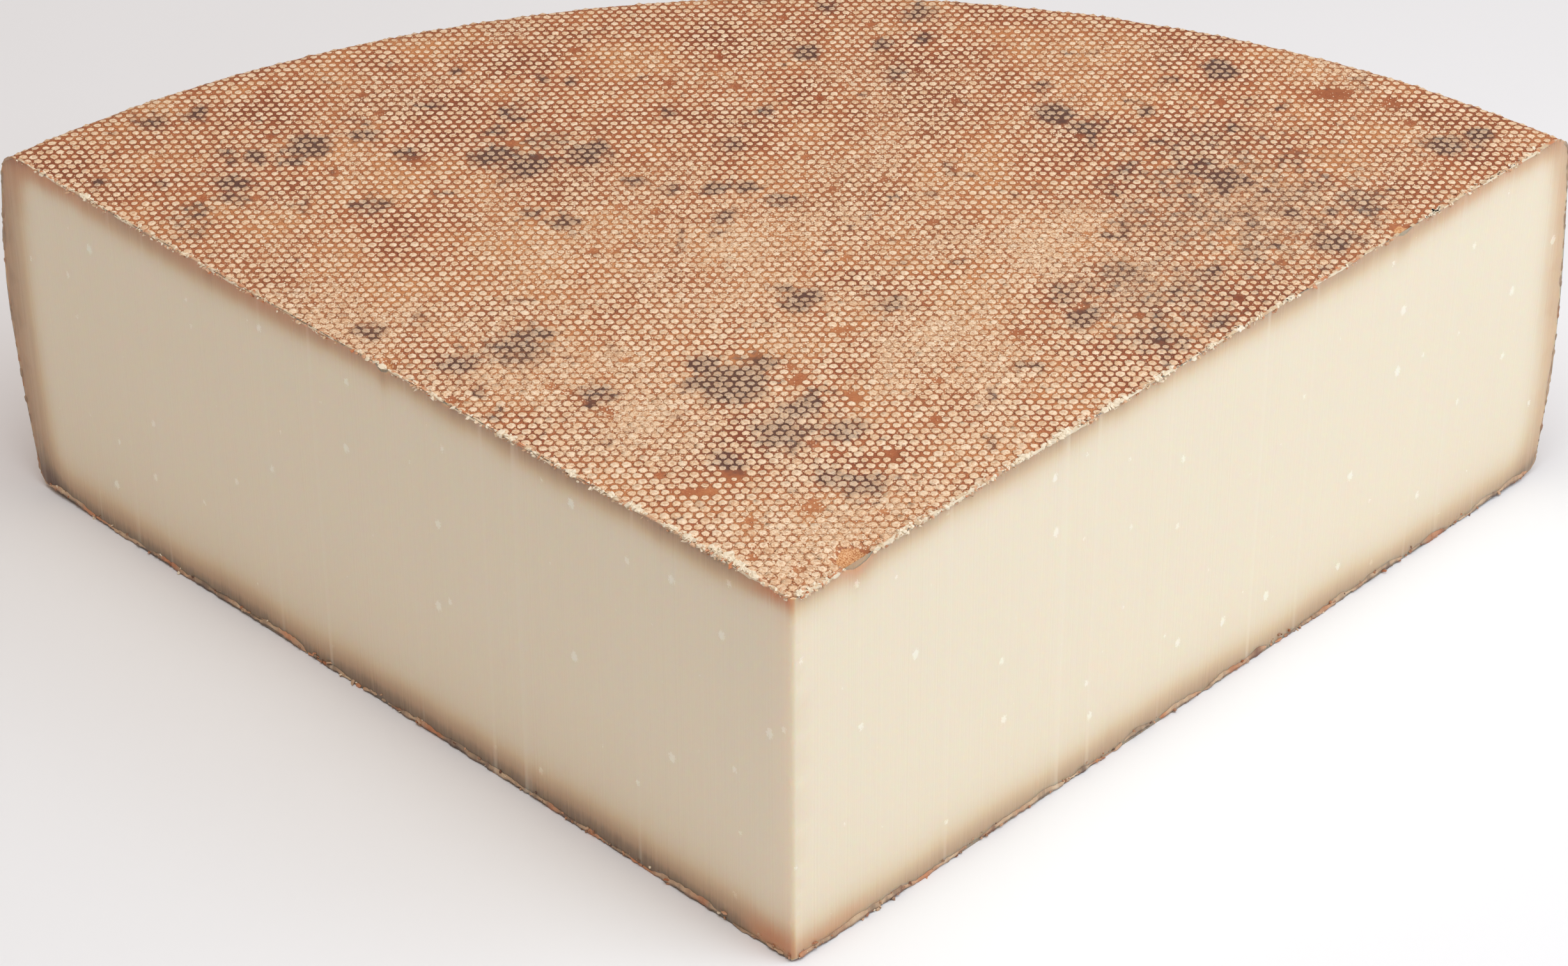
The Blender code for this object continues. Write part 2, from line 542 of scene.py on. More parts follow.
@dataclass(frozen=True)
class PressingMat:
    """The dimpled mat the wheel was pressed in: rows of dots, every other row set over by half.

    A dot on the top has a raised rim of five points; past the shoulder it is a plain cone.
    """

    dot_pitch: float = 2.73
    row_pitch: float = 2.47
    stray: float = 0.15  # how far a dot or a groove's corner may be out of place
    dot_radius: float = 1.19
    radius_spread: float = 0.10
    far_shrink: float = 0.14  # how much smaller the dots are towards the heel
    rim_spread: float = 0.08
    groove: float = -0.34
    dusty_groove: float = -0.17
    heel_groove: float = -0.36
    missing_dot: float = -0.30
    lost_share: float = 0.006  # share of dots missing anywhere
    lost_bareness: float = 0.62  # past this bareness, a dot is missing
    bare_shrink: float = 0.45
    heel_roughness: float = 0.35
    margin: float = 4.0  # how far past the cuts the mat is laid before it is cut
    seed: int = 5

    @property
    def near_corner(self) -> float:
        """Distance across the row from a dot's middle to its cell's four side corners."""
        return (self.row_pitch**2 - self.dot_pitch**2 / 4) / (2 * self.row_pitch)

    @property
    def far_corner(self) -> float:
        """Distance across the row from a dot's middle to its cell's two end corners."""
        return self.row_pitch - self.near_corner

    def lay(self, skin: WheelSkin, wear: RindWear) -> FlatMat:
        """Lays the pattern out flat, a little past the quarter's two cuts.

        Args:
            skin: The wheel that the mat will be wrapped over.
            wear: What ripening did to the dots.

        Returns:
            The flat mesh of raised dots and grooves.
        """
        rng = np.random.default_rng(self.seed)
        rows = np.arange(-3, int(skin.mat_end / self.row_pitch) + 4)
        half = int(skin.mat_end / self.dot_pitch) + 4
        columns = np.arange(-half, half + 1)
        row, column = np.meshgrid(rows, columns, indexing="ij")
        odd = row % 2
        middle = np.dstack(
            [self.dot_pitch * (column + 0.5 * odd), self.row_pitch * row.astype(float)]
        )
        up = middle + [0.0, self.far_corner] + rng.uniform(-self.stray, self.stray, middle.shape)
        low = middle - [0.0, self.far_corner] + rng.uniform(-self.stray, self.stray, middle.shape)
        centre = middle + rng.uniform(-self.stray, self.stray, middle.shape)

        sites = row.size
        site = np.arange(sites).reshape(row.shape)
        inner_rows = np.arange(row.shape[0])[:, None]
        inner_columns = np.arange(row.shape[1])[None, :]

        def neighbour(rise: int, back: int) -> np.ndarray:
            """The dots beside each dot in the next row or the last one.

            Args:
                rise: 1 for the row above, -1 for the row below.
                back: 0 for the dot on the right, 1 for the one on the left.

            Returns:
                The dots' numbers, row by row.
            """
            other_row = np.clip(inner_rows + rise, 0, row.shape[0] - 1)
            other_column = np.clip(inner_columns + odd - back, 0, row.shape[1] - 1)
            return site[other_row, other_column]

        up_id, low_id = np.arange(sites), sites + np.arange(sites)
        corners = np.column_stack(
            [
                low_id[neighbour(1, 0).ravel()],
                up_id,
                low_id[neighbour(1, 1).ravel()],
                up_id[neighbour(-1, 1).ravel()],
                low_id,
                up_id[neighbour(-1, 0).ravel()],
            ]
        )
        spread = np.hypot(middle[..., 0], middle[..., 1]).ravel()
        inside = (spread < skin.mat_end) & (
            np.abs(middle[..., 0]).ravel() < middle[..., 1].ravel() + self.margin
        )
        used = np.flatnonzero(inside)
        centres = centre.reshape(-1, 2)[used]
        bare = wear.bare(centres[:, 0], centres[:, 1])
        lost = (bare > self.lost_bareness) | (rng.random(len(used)) < self.lost_share)
        presence = np.where(lost, 0.0, 1.0)
        radii = self.dot_radius * (1.0 + self.radius_spread * rng.standard_normal(len(used)))
        radii = np.clip(radii, 0.75 * self.dot_radius, 1.13 * self.dot_radius)
        radii *= 1.0 - self.far_shrink * smooth_step(50.0, 240.0, spread[used])
        radii *= 1.0 - self.bare_shrink * np.minimum(bare, 1.0)

        flat_corners = np.vstack([up.reshape(-1, 2), low.reshape(-1, 2)])
        on_top = spread[used] < skin.top_edge - self.dot_pitch
        cell_corners = corners[used]
        towards = flat_corners[cell_corners] - centres[:, None, :]
        towards /= np.linalg.norm(towards, axis=2, keepdims=True)
        shape = 1.0 + self.rim_spread * rng.standard_normal((len(used), 6))
        joined = rng.integers(0, 6, len(used))
        after = (joined + 1) % 6
        each = np.arange(len(used))
        between = towards[each, joined] + towards[each, after]
        towards[each, joined] = between / np.linalg.norm(between, axis=1, keepdims=True)
        rim = centres[:, None, :] + towards * (radii[:, None] * shape)[..., None]

        first_rim = 2 * sites
        first_middle = first_rim + 6 * len(used)
        points = np.vstack([flat_corners, rim.reshape(-1, 2), centres])
        dusty = wear.dust(flat_corners[:, 0], flat_corners[:, 1])
        groove = self.groove + (self.dusty_groove - self.groove) * dusty
        groove = np.where(np.hypot(*flat_corners.T) < skin.top_edge, groove, self.heel_groove)
        groove = groove + rng.uniform(-0.06, 0.06, len(groove))
        dot_lift = np.where(lost, self.missing_dot, 0.0) + rng.uniform(-0.07, 0.03, len(used))
        rough = self.heel_roughness * Ripple(3.4, 34).at(centres[:, 0], centres[:, 1])
        dot_lift = np.where(on_top, dot_lift, dot_lift + rough)
        rim_lift = dot_lift[:, None] + rng.uniform(-0.06, 0.0, (len(used), 6))
        lift = np.concatenate([groove, rim_lift.ravel(), dot_lift]) - wear.nick(*points.T)

        faces: list[list[int]] = []
        cell: list[int] = []
        for number, (outer, raised, merge) in enumerate(
            zip(cell_corners.tolist(), on_top.tolist(), joined.tolist())
        ):
            if raised:
                ring = [first_rim + 6 * number + k for k in range(6)]
                ring[(merge + 1) % 6] = ring[merge]
                faces.append([r for k, r in enumerate(ring) if k != (merge + 1) % 6])
                for k in range(6):
                    n = (k + 1) % 6
                    inner = [ring[k]] if ring[k] == ring[n] else [ring[n], ring[k]]
                    faces.append([outer[k], outer[n], *inner])
                cell.extend([number] * 7)
            else:
                hub = first_middle + number
                faces.extend([outer[k], outer[(k + 1) % 6], hub] for k in range(6))
                cell.extend([number] * 6)
        mat = FlatMat(points, lift, faces, np.array(cell), centres, radii, presence)
        self.round_off(mat, skin.mat_end)
        return mat

    def round_off(self, mat: FlatMat, mat_end: float) -> None:
        """Moves the pattern's jagged far edge onto one round line.

        Args:
            mat: The flat mesh, which is changed.
            mat_end: The line's radius, in mm.
        """
        edge = open_points(mat.faces)
        spread = np.hypot(*mat.points[edge].T)
        far = edge[spread > mat_end - 2.0 * self.row_pitch]
        mat.points[far] *= (mat_end / np.hypot(*mat.points[far].T))[:, None]

    def cut(self, mat: FlatMat, tip: float) -> FlatMat:
        """Cuts the flat pattern along the quarter's two cuts and its blunt tip.

        Args:
            mat: The flat mesh.
            tip: How far the tip's narrow facet stands from the wheel's axis, in mm.

        Returns:
            The flat mesh of the quarter.
        """
        bench = bmesh.new()
        lift_layer = bench.verts.layers.float.new("lift")
        cell_layer = bench.faces.layers.int.new("cell")
        corners = []
        for (x, y), lift in zip(mat.points.tolist(), mat.lift.tolist()):
            corner = bench.verts.new((x, y, 0.0))
            corner[lift_layer] = lift
            corners.append(corner)
        for face, cell in zip(mat.faces, mat.cell.tolist()):
            bench.faces.new([corners[k] for k in face])[cell_layer] = cell
        cuts = (((0, 0, 0), (1, -1, 0)), ((0, 0, 0), (-1, -1, 0)), ((0, tip, 0), (0, -1, 0)))
        for place, outward in cuts:
            bmesh.ops.bisect_plane(
                bench,
                geom=[*bench.verts, *bench.edges, *bench.faces],
                dist=0.02,
                plane_co=place,
                plane_no=Vector(outward).normalized(),
                clear_outer=True,
            )
        loose = [corner for corner in bench.verts if not corner.link_faces]
        bmesh.ops.delete(bench, geom=loose, context="VERTS")
        bench.verts.index_update()
        points = np.array([corner.co[:2] for corner in bench.verts])
        lift = np.array([corner[lift_layer] for corner in bench.verts])
        faces = [[corner.index for corner in face.verts] for face in bench.faces]
        cell = np.array([face[cell_layer] for face in bench.faces])
        bench.free()
        on_cut = np.abs(np.abs(points[:, 0]) - points[:, 1]) < 0.05
        points[on_cut, 0] = np.sign(points[on_cut, 0]) * points[on_cut, 1]
        on_tip = np.abs(points[:, 1] - tip) < 0.05
        corner_of_tip = on_cut & on_tip
        points[on_tip, 1] = tip
        points[corner_of_tip, 0] = np.sign(points[corner_of_tip, 0]) * tip
        return FlatMat(points, lift, faces, cell, mat.centres, mat.radii, mat.presence)


def open_edges(faces: list[list[int]]) -> np.ndarray:
    """The edges that only one face uses.

    Args:
        faces: The numbers of each face's points.

    Returns:
        Pairs of point numbers.
    """
    pairs = []
    for face in faces:
        pairs.extend(zip(face, face[1:] + face[:1]))
    edges = np.sort(np.array(pairs), axis=1)
    unique, counts = np.unique(edges, axis=0, return_counts=True)
    return unique[counts == 1]


def open_points(faces: list[list[int]]) -> np.ndarray:
    """The points on edges that only one face uses."""
    return np.unique(open_edges(faces))


def fill_outline(outline: Points, inner: Points) -> list[list[int]]:
    """Fills a flat outline with triangles, bridging the shallow hollows along it.

    Args:
        outline: The outline's points in order.
        inner: Loose points inside it.

    Returns:
        Triangles that run anticlockwise, as numbers into the outline followed by the inner points.
    """
    spots = [Vector(spot) for spot in np.vstack([outline, inner]).tolist()]
    loop = list(range(len(outline)))
    _, _, triangles, origins, _, _ = delaunay_2d_cdt(spots, [], [loop], 1, 1e-6, True)
    return [[origins[corner][0] for corner in triangle] for triangle in triangles]


@dataclass(frozen=True)
class Browning:
    """How the paste darkens towards the skin on a cut face: share lost, reach in mm and power."""

    top: tuple[float, float, float]
    heel: tuple[float, float, float]
    base: tuple[float, float, float]
    base_haze: tuple[float, float, float]

    def shade(self, from_top: Values, from_heel: Values, from_base: Values) -> Values:
        """How brown the paste is, from 0 deep inside to about 0.8 under the skin.

        Args:
            from_top: Distance below the top, in mm.
            from_heel: Distance inside the heel, in mm.
            from_base: Distance above the base, in mm.

        Returns:
            The browning of each point.
        """
        kept = np.ones(np.shape(from_top))
        for distance, (share, reach, power) in (
            (from_top, self.top),
            (from_heel, self.heel),
            (from_base, self.base),
            (from_base, self.base_haze),
        ):
            kept = kept * (1.0 - share * fade(distance, reach, power))
        return 1.0 - kept


BROWNING = {
    Side.LEFT: Browning((0.58, 5.6, 1.8), (0.58, 10.5, 3.2), (0.66, 8.9, 2.1), (0.17, 18.0, 1.2)),
    Side.RIGHT: Browning((0.50, 5.2, 1.5), (0.37, 9.0, 2.5), (0.50, 7.5, 1.8), (0.13, 16.0, 1.2)),
}


@dataclass
class Shell:
    """The quarter's surface while it is put together, in mm from the wheel's axis."""

    points: list[Points] = field(default_factory=list)
    faces: list[list[int]] = field(default_factory=list)
    patches: list[Patch] = field(default_factory=list)
    count: int = 0

    def add_points(self, points: Points) -> np.ndarray:
        """Adds points to the surface.

        Args:
            points: The points.

        Returns:
            The points' numbers.
        """
        self.points.append(np.asarray(points, float))
        numbers = np.arange(self.count, self.count + len(points))
        self.count += len(points)
        return numbers

    def add_faces(self, faces: list[list[int]], patch: Patch) -> None:
        """Adds faces to one part of the surface."""
        self.faces.extend(faces)
        self.patches.extend([patch] * len(faces))

    def place(self) -> Points:
        """All points, one a row."""
        return np.vstack(self.points)


@dataclass
class CheeseQuarter:
    """The whole quarter: rind, underside and two cut faces as one mesh."""

    skin: WheelSkin
    mat: PressingMat = field(default_factory=PressingMat)
    wear: RindWear = field(default_factory=RindWear)
    tip: float = 0.55  # how far the blunt tip stands from the wheel's axis
    base_step: float = 1.6  # along the lower edges of the cuts
    tip_step: float = 2.6
    base_grid: float = 5.0
    tip_columns: tuple[float, ...] = (1.3, 2.1, 3.2, 4.6, 6.3)  # points on a cut, out from the tip
    first_column: float = 8.5
    column_gap: float = 2.5
    last_column: float = 12.0  # inside the top's edge, where the finer columns begin
    first_heel_column: float = 11.0
    heel_column_gap: float = 1.7
    depths: tuple[float, ...] = (1.0, 2.2, 3.6, 5.3, 7.4, 10.0, 13.5, 18.5, 26.0)  # under the skin
    middle_heights: tuple[float, ...] = (40.0, 54.0, 68.0)
    deep_bow: float = 0.16  # how far a cut face waves, in its long waves and its short ones
    fine_bow: float = 0.05
    shell: Shell = field(default_factory=Shell)

    def build(self) -> bpy.types.Object:
        """Builds the quarter's mesh, with what its materials need stored on it.

        Returns:
            The finished object, in metres, in the wheel's own place with its axis at the origin.
        """
        flat = self.mat.cut(self.mat.lay(self.skin, self.wear), self.tip)
        shell = self.shell
        skin_points = self.skin.wrap(flat.points[:, 0], flat.points[:, 1], flat.lift)
        shell.add_points(skin_points)
        shell.add_faces(flat.faces, Patch.RIND)

        spread = np.hypot(*flat.points.T)
        rim = open_edges(flat.faces)
        on_cut = np.abs(np.abs(flat.points[:, 0]) - flat.points[:, 1]) < 1e-9
        end = rim[(spread[rim].min(axis=1) > self.skin.mat_end - 2.5) & ~on_cut[rim].all(axis=1)]
        end = np.unique(end)
        end = end[np.argsort(np.arctan2(flat.points[end, 0], flat.points[end, 1]))]
        tip_top = np.flatnonzero(flat.points[:, 1] == self.tip)
        tip_top = tip_top[np.argsort(flat.points[tip_top, 0])]

        lower, uprights, upper = {}, {}, {}
        for side in Side:
            line = np.flatnonzero(on_cut & (np.sign(flat.points[:, 0]) == side.value))
            upper[side] = line[np.argsort(spread[line])]
            lower[side] = self.add_lower_edge(side, upper[side][-1])
            uprights[side] = self.add_upright(lower[side][-1], upper[side][0])

        self.add_underside(lower, end)
        cut_points = {side: self.add_cut(side, upper, lower, uprights) for side in Side}
        self.add_tip(uprights, tip_top)
        return self.make_object(flat, cut_points)

    def add_lower_edge(self, side: Side, corner: int) -> np.ndarray:
        """Adds a cut face's lower edge, from the heel's foot to the tip.

        Args:
            side: The cut face.
            corner: The number of the point where the foot meets the cut.

        Returns:
            The numbers of the edge's points, from the foot's corner to the tip's corner.
        """
        corner_place = self.shell.place()[corner]
        reach = float(np.hypot(corner_place[0], corner_place[1]))
        start = self.tip * math.sqrt(2.0)
        steps = int((reach - start) / self.base_step)
        out = np.linspace(reach, start, steps + 1)[1:]
        height = self.skin.lower_edge(side, out)
        across = out * DIAGONAL
        added = self.shell.add_points(np.column_stack([side.value * across, across, height]))
        return np.concatenate([[corner], added])

    def add_upright(self, low: int, high: int) -> np.ndarray:
        """Adds the points of a cut face's edge at the tip.

        Args:
            low: The number of the edge's lower corner.
            high: The number of its upper corner.

        Returns:
            The numbers of the edge's points, upwards, with both corners.
        """
        places = self.shell.place()
        bottom, top = places[low], places[high]
        steps = int(self.skin.height / self.tip_step)
        share = np.linspace(0.0, 1.0, steps + 1)[1:-1]
        added = self.shell.add_points(bottom + (top - bottom) * share[:, None])
        return np.concatenate([[low], added, [high]])

    def add_underside(self, lower: dict[Side, np.ndarray], end: np.ndarray) -> None:
        """Closes the underside.

        Args:
            lower: The numbers of each cut's lower edge, from the foot to the tip.
            end: The numbers of the points along the foot, from left to right.
        """
        outline = np.concatenate([lower[Side.LEFT][::-1], end[1:-1], lower[Side.RIGHT]])
        places = self.shell.place()
        rng = np.random.default_rng(7)
        step = self.base_grid
        reach = self.skin.foot_reach_left - self.skin.foot_rounding - 0.6 * step
        rows = np.arange(step, reach, step * math.sqrt(0.75))
        inner = []
        for number, y in enumerate(rows):
            half = min(y - step, math.sqrt(max(reach**2 - y**2, 0.0)))
            for x in np.arange(-half + (number % 2) * step / 2, half, step):
                inner.append((x, y))
        inner = np.array(inner) + rng.uniform(-0.8, 0.8, (len(inner), 2))
        height = 0.08 + 0.08 * Ripple(11.0, 61).at(inner[:, 0], inner[:, 1])
        height = height + self.skin.base_rise(np.hypot(*inner.T))
        added = self.shell.add_points(np.column_stack([inner, height]))
        numbers = np.concatenate([outline, added])
        triangles = fill_outline(places[outline][:, :2], inner)
        faces = [[int(numbers[k]) for k in reversed(triangle)] for triangle in triangles]
        self.shell.add_faces(faces, Patch.UNDERSIDE)

    def add_cut(
        self,
        side: Side,
        upper: dict[Side, np.ndarray],
        lower: dict[Side, np.ndarray],
        uprights: dict[Side, np.ndarray],
    ) -> np.ndarray:
        """Closes a cut face with triangles that are finer towards the skin.

        Args:
            side: The cut face.
            upper: The numbers of each skin edge, from the tip over the top to the foot.
            lower: The numbers of each lower edge, from the foot to the tip.
            uprights: The numbers of each edge at the tip, upwards.

        Returns:
            The numbers of all the points on the face.
        """
        places = self.shell.place()
        outline = np.concatenate(
            [upper[side][::-1], uprights[side][1:-1][::-1], lower[side][:0:-1]]
        )
        out = np.hypot(places[outline, 0], places[outline, 1])
        height = places[outline, 2]
        skin_edge = places[upper[side]]
        skin_out = np.hypot(skin_edge[:, 0], skin_edge[:, 1])
        on_top = np.arange(len(skin_out)) <= int(np.argmax(skin_out > self.skin.top_edge))
        heel = skin_out > self.skin.top_edge
        edge = self.skin.top_edge
        columns = np.concatenate(
            [
                self.tip_columns,
                np.arange(self.first_column, edge - self.last_column, self.column_gap),
                np.arange(edge - self.first_heel_column, self.skin.belly, self.heel_column_gap),
            ]
        )
        inner = []
        for number, column in enumerate(columns):
            over = float(np.interp(column, skin_out[on_top], skin_edge[on_top, 2]))
            under = float(self.skin.lower_edge(side, np.array([column]))[0])
            nudge = 0.5 * (number % 2)
            for depth in self.depths:
                inner.append((column, over - depth - nudge * depth / 6))
                inner.append((column, under + depth + nudge * depth / 6))
            low, middle, high = self.middle_heights
            inner.extend((column, z) for z in (low, middle + 4 * nudge, high))
        inner = np.array(inner)
        order = np.argsort(skin_edge[heel, 2])
        wall = np.interp(inner[:, 1], skin_edge[heel, 2][order], skin_out[heel][order])
        inner = inner[inner[:, 0] < wall - 0.9]

        across = inner[:, 0] * DIAGONAL
        bow = self.deep_bow * Ripple(34.0, 71).at(inner[:, 0], inner[:, 1])
        bow = bow + self.fine_bow * Ripple(5.0, 72).at(inner[:, 0], 0.12 * inner[:, 1])
        bow = bow * DIAGONAL
        added = self.shell.add_points(
            np.column_stack([side.value * (across + bow), across - bow, inner[:, 1]])
        )
        numbers = np.concatenate([outline, added])
        triangles = fill_outline(np.column_stack([out, height]), inner)
        if side is Side.LEFT:
            triangles = [triangle[::-1] for triangle in triangles]
        self.shell.add_faces([[int(numbers[k]) for k in t] for t in triangles], Patch.CUT)
        return numbers

    def add_tip(self, uprights: dict[Side, np.ndarray], top: np.ndarray) -> None:
        """Closes the narrow facet at the tip.

        Args:
            uprights: The numbers of each edge at the tip, upwards.
            top: The numbers of the points along the facet's upper edge, from left to right.
        """
        left, right = uprights[Side.LEFT], uprights[Side.RIGHT]
        faces = []
        for step in range(len(left) - 1):
            above = [right[step + 1], left[step + 1]]
            if step == len(left) - 2:
                above = top[::-1].tolist()
            faces.append([int(k) for k in (left[step], right[step], *above)])
        self.shell.add_faces(faces, Patch.CUT)

    def cut_state(self, side: Side, places: Points, skin_edge: Points) -> Points:
        """What the paste's material needs to know at points on a cut face.

        Args:
            side: The cut face.
            places: The points, in mm.
            skin_edge: The points of the face's edge along the skin, from the tip to the foot.

        Returns:
            Browning, warmth and distance from the tip, one row a point.
        """
        out = np.hypot(places[:, 0], places[:, 1])
        height = places[:, 2]
        skin_out = np.hypot(skin_edge[:, 0], skin_edge[:, 1])
        crest = skin_out <= self.skin.top_edge
        heel = ~crest
        order = np.argsort(skin_edge[heel, 2])
        from_top = np.interp(out, skin_out[crest], skin_edge[crest, 2]) - height
        from_heel = np.interp(height, skin_edge[heel, 2][order], skin_out[heel][order]) - out
        uneven = Ripple(30.0, 81).at(out, height) * 1.3 + Ripple(9.0, 82).at(out, height) * 0.5
        shade = BROWNING[side].shade(from_top + uneven, from_heel + uneven, height + uneven)
        warmth = cover_all(WARM[side], out, height, 1.5)
        shade = shade * (1.0 - WARM_LIGHTENING * np.clip(warmth, 0.0, 1.0))
        return np.column_stack([shade, warmth, out])

    def make_object(self, flat: FlatMat, cuts: dict[Side, np.ndarray]) -> bpy.types.Object:
        """Makes the mesh object and stores what the materials read on it.

        Args:
            flat: The flat mat that the rind was made from.
            cuts: The numbers of each cut face's points.

        Returns:
            The object.
        """
        places = self.shell.place()
        mesh = bpy.data.meshes.new("cheese_quarter")
        mesh.from_pydata((places * MM).tolist(), [], self.shell.faces)
        slots = np.array([patch.value for patch in self.shell.patches], np.int32)
        mesh.polygons.foreach_set("material_index", slots)
        mesh.shade_smooth()

        x, y = flat.points.T
        state = np.zeros((len(places), 3))
        state[: len(flat.points)] = np.column_stack(
            [self.wear.mould(x, y), self.wear.dust(x, y), self.wear.bare(x, y)]
        )
        self.store(mesh, RIND_STATE, "POINT", state)
        cut_values = np.zeros((len(places), 3))
        skin = np.arange(len(flat.points))
        for side, numbers in cuts.items():
            edge = skin[np.abs(flat.points[:, 0] - side.value * flat.points[:, 1]) < 1e-9]
            edge = edge[np.argsort(np.hypot(*flat.points[edge].T))]
            cut_values[numbers] = self.cut_state(side, places[numbers], places[edge])
        self.store(mesh, CUT_STATE, "POINT", cut_values)
        self.store_dots(mesh, flat)
        self.crease(mesh, slots)
        mesh.validate()
        piece = bpy.data.objects.new("cheese_quarter", mesh)
        bpy.context.scene.collection.objects.link(piece)
        return piece

    def store_dots(self, mesh: bpy.types.Mesh, flat: FlatMat) -> None:
        """Stores each face corner's place in its dot, and how that dot is drawn.

        Args:
            mesh: The quarter's mesh, whose first faces are the rind's.
            flat: The flat mat that the rind was made from.
        """
        rng = np.random.default_rng(17)
        sizes = np.array([len(face) for face in flat.faces])
        owner = np.repeat(flat.cell, sizes)
        corner = np.concatenate([np.array(face) for face in flat.faces])
        place = np.zeros((len(mesh.loops), 3))
        draw = np.zeros((len(mesh.loops), 3))
        place[: len(owner), :2] = flat.points[corner] - flat.centres[owner]
        place[: len(owner), 2] = flat.radii[owner]
        tone = rng.random(len(flat.centres))
        ring = rng.random(len(flat.centres))
        draw[: len(owner)] = np.column_stack([tone, ring, flat.presence])[owner]
        self.store(mesh, DOT_PLACE, "CORNER", place)
        self.store(mesh, DOT_DRAW, "CORNER", draw)

    @staticmethod
    def store(mesh: bpy.types.Mesh, name: str, domain: str, values: Points) -> None:
        """Stores a vector for each point or face corner."""
        layer = mesh.attributes.new(name, "FLOAT_VECTOR", domain)
        layer.data.foreach_set("vector", values.astype(np.float32).ravel())

    @staticmethod
    def crease(mesh: bpy.types.Mesh, slots: np.ndarray) -> None:
        """Marks the edges between two parts of the surface as sharp.

        Args:
            mesh: The quarter's mesh, which is changed.
            slots: The number of the surface's part for each face.
        """
        edge_of_corner = np.zeros(len(mesh.loops), np.int32)
        mesh.loops.foreach_get("edge_index", edge_of_corner)
        sizes = np.zeros(len(mesh.polygons), np.int32)
        mesh.polygons.foreach_get("loop_total", sizes)
        slot_of_corner = np.repeat(slots, sizes)
        lowest = np.full(len(mesh.edges), len(Patch))
        highest = np.full(len(mesh.edges), -1)
        np.minimum.at(lowest, edge_of_corner, slot_of_corner)
        np.maximum.at(highest, edge_of_corner, slot_of_corner)
        sharp = mesh.attributes.new("sharp_edge", "BOOLEAN", "EDGE")
        sharp.data.foreach_set("value", lowest != highest)


def log_piece(piece: bpy.types.Object) -> None:
    """Reports a finished piece's size in mm and its number of triangles.

    Args:
        piece: The piece.
    """
    piece.data.calc_loop_triangles()
    size = [round(side / MM, 1) for side in piece.dimensions]
    LOG.info("%s: %s mm, %d triangles", piece.name, size, len(piece.data.loop_triangles))


@dataclass(frozen=True)
class Ribbon:
    """One kind of torn ribbon that runs along a cut's edge, in mm."""

    width: float
    width_swing: float  # by how much its width comes and goes
    ragged: float  # by how much its free edge strays
    widest: float
    thickness: float
    overhang: float  # how far it strays past the edge
    browning: tuple[float, float]  # of its palest and its brownest places
    rim_browning: float  # how much browner it is beside the skin
    warmth: float  # of its warmest places
    run: float = 14.0  # mm over which it comes and goes
    patch: float = 7.0  # mm over which its colour changes
    root: float = 0.2  # how far it starts inside the cut face
    wane: float = 0.0  # share of its width lost far from the tip; if any is, nicks break it too


# A ribbon's section: the share of its width that each corner stands in from the edge, and its
# height as a share of the thickness. The first and the last corner lie inside the cheese.
RIBBON_SECTION = ((0.04, 0.8), (0.5, 1.0), (0.95, 0.45))
RIBBON_TOE = -0.2  # mm, how deep the last corner lies
THINNEST_RIBBON = 0.12  # mm wide; where it would be narrower, the ribbon is broken

RIND_LIP = Ribbon(0.36, 0.34, 0.36, 1.1, 0.34, 0.16, (0.20, 0.46), 0.0, 1.1, 6.0, 3.0, 0.7, 0.45)
BURR = Ribbon(0.36, 1.05, 0.66, 2.1, 0.50, 0.32, (0.02, 0.22), 0.0, 0.15, 9.0, 5.0, 0.2, 0.5)
HEEL_CRUST = Ribbon(0.5, 0.7, 0.50, 1.9, 0.35, 0.28, (0.52, 0.70), 0.05, 0.35, 5.0, 4.0)
BASE_CRUST = Ribbon(1.1, 0.95, 0.60, 2.6, 0.65, 0.30, (0.34, 0.78), 0.25, 0.85, 7.0, 5.0)


